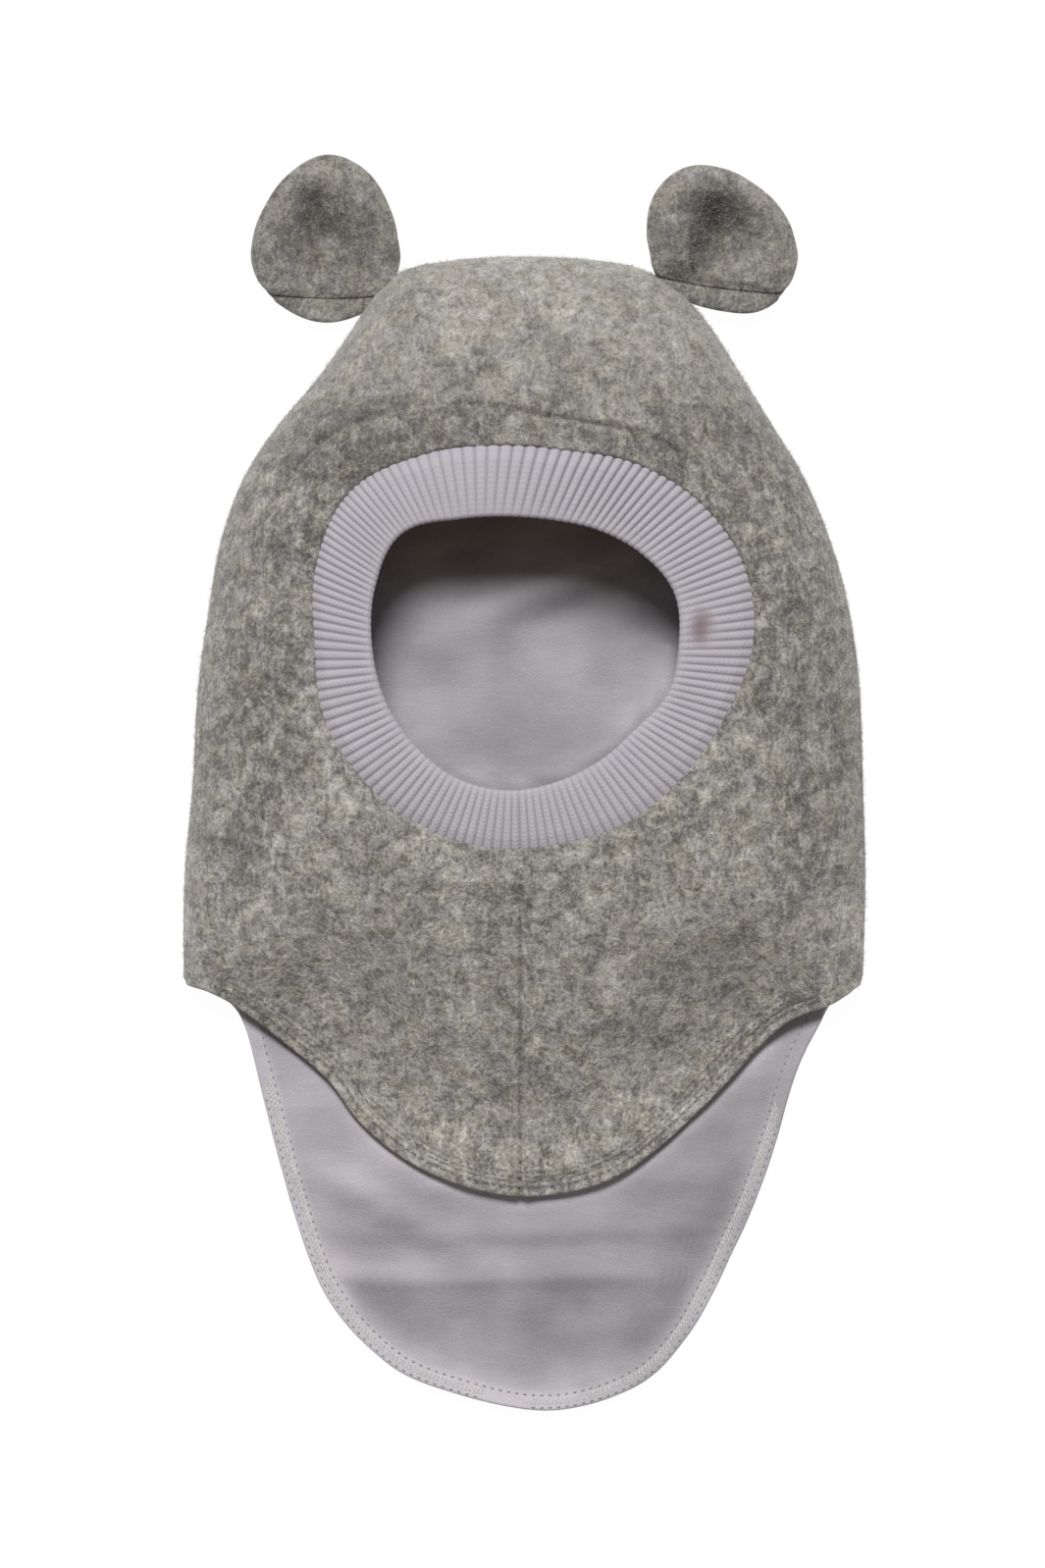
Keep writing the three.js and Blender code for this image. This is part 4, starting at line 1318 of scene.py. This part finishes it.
def fibres_on(surface, count, longest, random):
    """Ribbons that stand off a surface: points, quads, triangles and a tone for each point."""
    corners = np.vstack(
        [c if c.shape[1] == 3 else np.vstack([c[:, :3], c[:, [0, 2, 3]]]) for c in surface.faces]
    )
    place = surface.points[corners]
    area = np.cross(place[:, 1] - place[:, 0], place[:, 2] - place[:, 0])
    size = np.linalg.norm(area, axis=1)
    up = area[:, 2] / np.maximum(size, 1e-12)
    weight = size * np.where(up < 0.05, 0, 1 + 2.5 * (1 - np.clip(up, 0, 1)) ** 2)
    chosen = random.choice(len(corners), count, p=weight / weight.sum())
    a, b = random.random((2, count, 1))
    a, b = np.where(a + b > 1, 1 - a, a), np.where(a + b > 1, 1 - b, b)
    root = place[chosen, 0]
    root = root + a * (place[chosen, 1] - root) + b * (place[chosen, 2] - place[chosen, 0])
    normal = area[chosen] / size[chosen][:, None]
    lean = random.normal(size=(count, 3))
    lean -= normal * (lean * normal).sum(axis=1, keepdims=True)
    lean /= np.linalg.norm(lean, axis=1, keepdims=True)
    stand = random.uniform(0.15, 0.9, (count, 1))
    way = normal * stand + lean * np.sqrt(1 - stand**2)
    length = longest * random.uniform(0.35, 1.0, (count, 1))
    knee = root + way * 0.5 * length
    curl = np.cross(normal, lean) * random.normal(0, 0.6, (count, 1))
    tip = knee + (way + curl - normal * 0.35) * 0.5 * length
    flat = np.cross(way, random.normal(size=(count, 3)))
    flat *= 0.045 / np.linalg.norm(flat, axis=1, keepdims=True)
    root = root - normal * 0.15
    points = np.stack([root - flat, root + flat, knee + 0.8 * flat, knee - 0.8 * flat, tip], axis=1)
    tone = np.repeat(random.beta(1.4, 1.4, count), 5)
    start = np.arange(count)[:, None] * 5
    return points.reshape(-1, 3), start + [0, 1, 2, 3], start + [3, 2, 4], tone


FIBRE_SHARES = {"hood": 0.86, "front": 0.05, "back": 0.02}  # of all fibres, on each such surface


class HAT_OT_fibres(bpy.types.Operator):
    """Loose fibres that stand off the wool of the hood and the ears."""

    bl_idname = "hat.fibres"
    bl_label = "Loose fibres"

    def execute(self, context):
        settings = context.scene.baby_hat
        random = np.random.default_rng(SEED)
        wool = [(build_shell()[0], FIBRE_SHARES["hood"])]
        for side in EAR_SIDES:
            wool += [(ear_surface(side, layer), FIBRE_SHARES[layer]) for layer in EAR_LAYERS]
        parts, count = [], 0
        for surface, share in wool:
            number = int(settings.fibre_count * share)
            made = fibres_on(surface, number, settings.fibre_length / MM, random)
            parts.append((made[0], made[1] + count, made[2] + count, made[3]))
            count += len(made[0])
        points, quads, triangles, tones = (np.concatenate(part) for part in zip(*parts))
        piece = Surface(points, [quads, triangles]).mesh("wool_fibres")
        stamp(piece, "tone", tones)
        dress(piece, "wool_fibre", fibre_material, "wool_fleece")
        return {"FINISHED"}


# ---- The stage ----
CAMERA = {"height": 5.0, "view": 0.4858, "x": -0.0003, "y": -0.0006, "sensor": 36.0}
SUN = {"way": (-0.08, 0.53, 0.844), "strength": 3.26, "angle": 0.34}
SKY = {"colour": (1.0, 0.95, 0.89), "strength": 0.24}
FLOOR = {"size": 40.0, "colour": (0.06, 0.06, 0.06), "glow": 0.97}


class HAT_OT_stage(bpy.types.Operator):
    """A pale floor, one broad soft light from the crown's side, a weak fill and the camera."""

    bl_idname = "hat.stage"
    bl_label = "Stage"

    def execute(self, context):
        scene = context.scene
        bpy.ops.object.select_all(action="DESELECT")
        bpy.ops.mesh.primitive_plane_add(size=FLOOR["size"])
        floor = context.object
        floor.name = "floor"
        g = Graph("pale_floor")
        paint = {
            "Base Color": (*FLOOR["colour"], 1), "Roughness": 0.9, "Specular IOR Level": 0.0,
            "Emission Color": (1, 1, 1, 1), "Emission Strength": FLOOR["glow"],
        }
        shader = g.node("ShaderNodeBsdfPrincipled", paint)
        g.node("ShaderNodeOutputMaterial", {"Surface": shader})
        floor.data.materials.append(g.material)
        sun = bpy.data.lights.new("soft_key", "SUN")
        sun.energy, sun.angle = SUN["strength"], SUN["angle"]
        lamp = placed("soft_key", sun)
        lamp.rotation_mode = "QUATERNION"
        lamp.rotation_quaternion = (-Vector(SUN["way"])).to_track_quat("-Z", "Y")
        world = bpy.data.worlds.new("soft_fill")
        world.use_nodes = True
        sky = world.node_tree.nodes["Background"]
        sky.inputs["Color"].default_value = (*SKY["colour"], 1)
        sky.inputs["Strength"].default_value = SKY["strength"]
        scene.world = world
        lens = bpy.data.cameras.new("camera")
        lens.sensor_width = CAMERA["sensor"]
        lens.lens = CAMERA["sensor"] * CAMERA["height"] / CAMERA["view"]
        lens.clip_end = 100
        camera = placed("camera", lens)
        camera.location = (CAMERA["x"], CAMERA["y"], CAMERA["height"])
        scene.camera = camera
        scene.view_settings.view_transform = "Standard"
        return {"FINISHED"}


class HAT_PT_panel(bpy.types.Panel):
    """Lists the hat's settings and the operators that build it."""

    bl_label = "Baby hat"
    bl_idname = "HAT_PT_panel"
    bl_space_type = "VIEW_3D"
    bl_region_type = "UI"
    bl_category = "Baby hat"

    def draw(self, context):
        settings = context.scene.baby_hat
        for name in HatSettings.__annotations__:
            self.layout.prop(settings, name)
        for maker in OPERATORS:
            self.layout.operator(maker.bl_idname)


OPERATORS = (
    HAT_OT_outer_shell,
    HAT_OT_lining,
    HAT_OT_face_rib,
    HAT_OT_ears,
    HAT_OT_stitches,
    HAT_OT_fibres,
    HAT_OT_stage,
)


def register():
    for part in (HatSettings, *OPERATORS, HAT_PT_panel):
        bpy.utils.register_class(part)
    bpy.types.Scene.baby_hat = PointerProperty(type=HatSettings)


def unregister():
    del bpy.types.Scene.baby_hat
    for part in reversed((HatSettings, *OPERATORS, HAT_PT_panel)):
        bpy.utils.unregister_class(part)


def main():
    register()
    for maker in OPERATORS:
        group, name = maker.bl_idname.split(".")
        getattr(getattr(bpy.ops, group), name)()


if __name__ == "__main__":
    main()
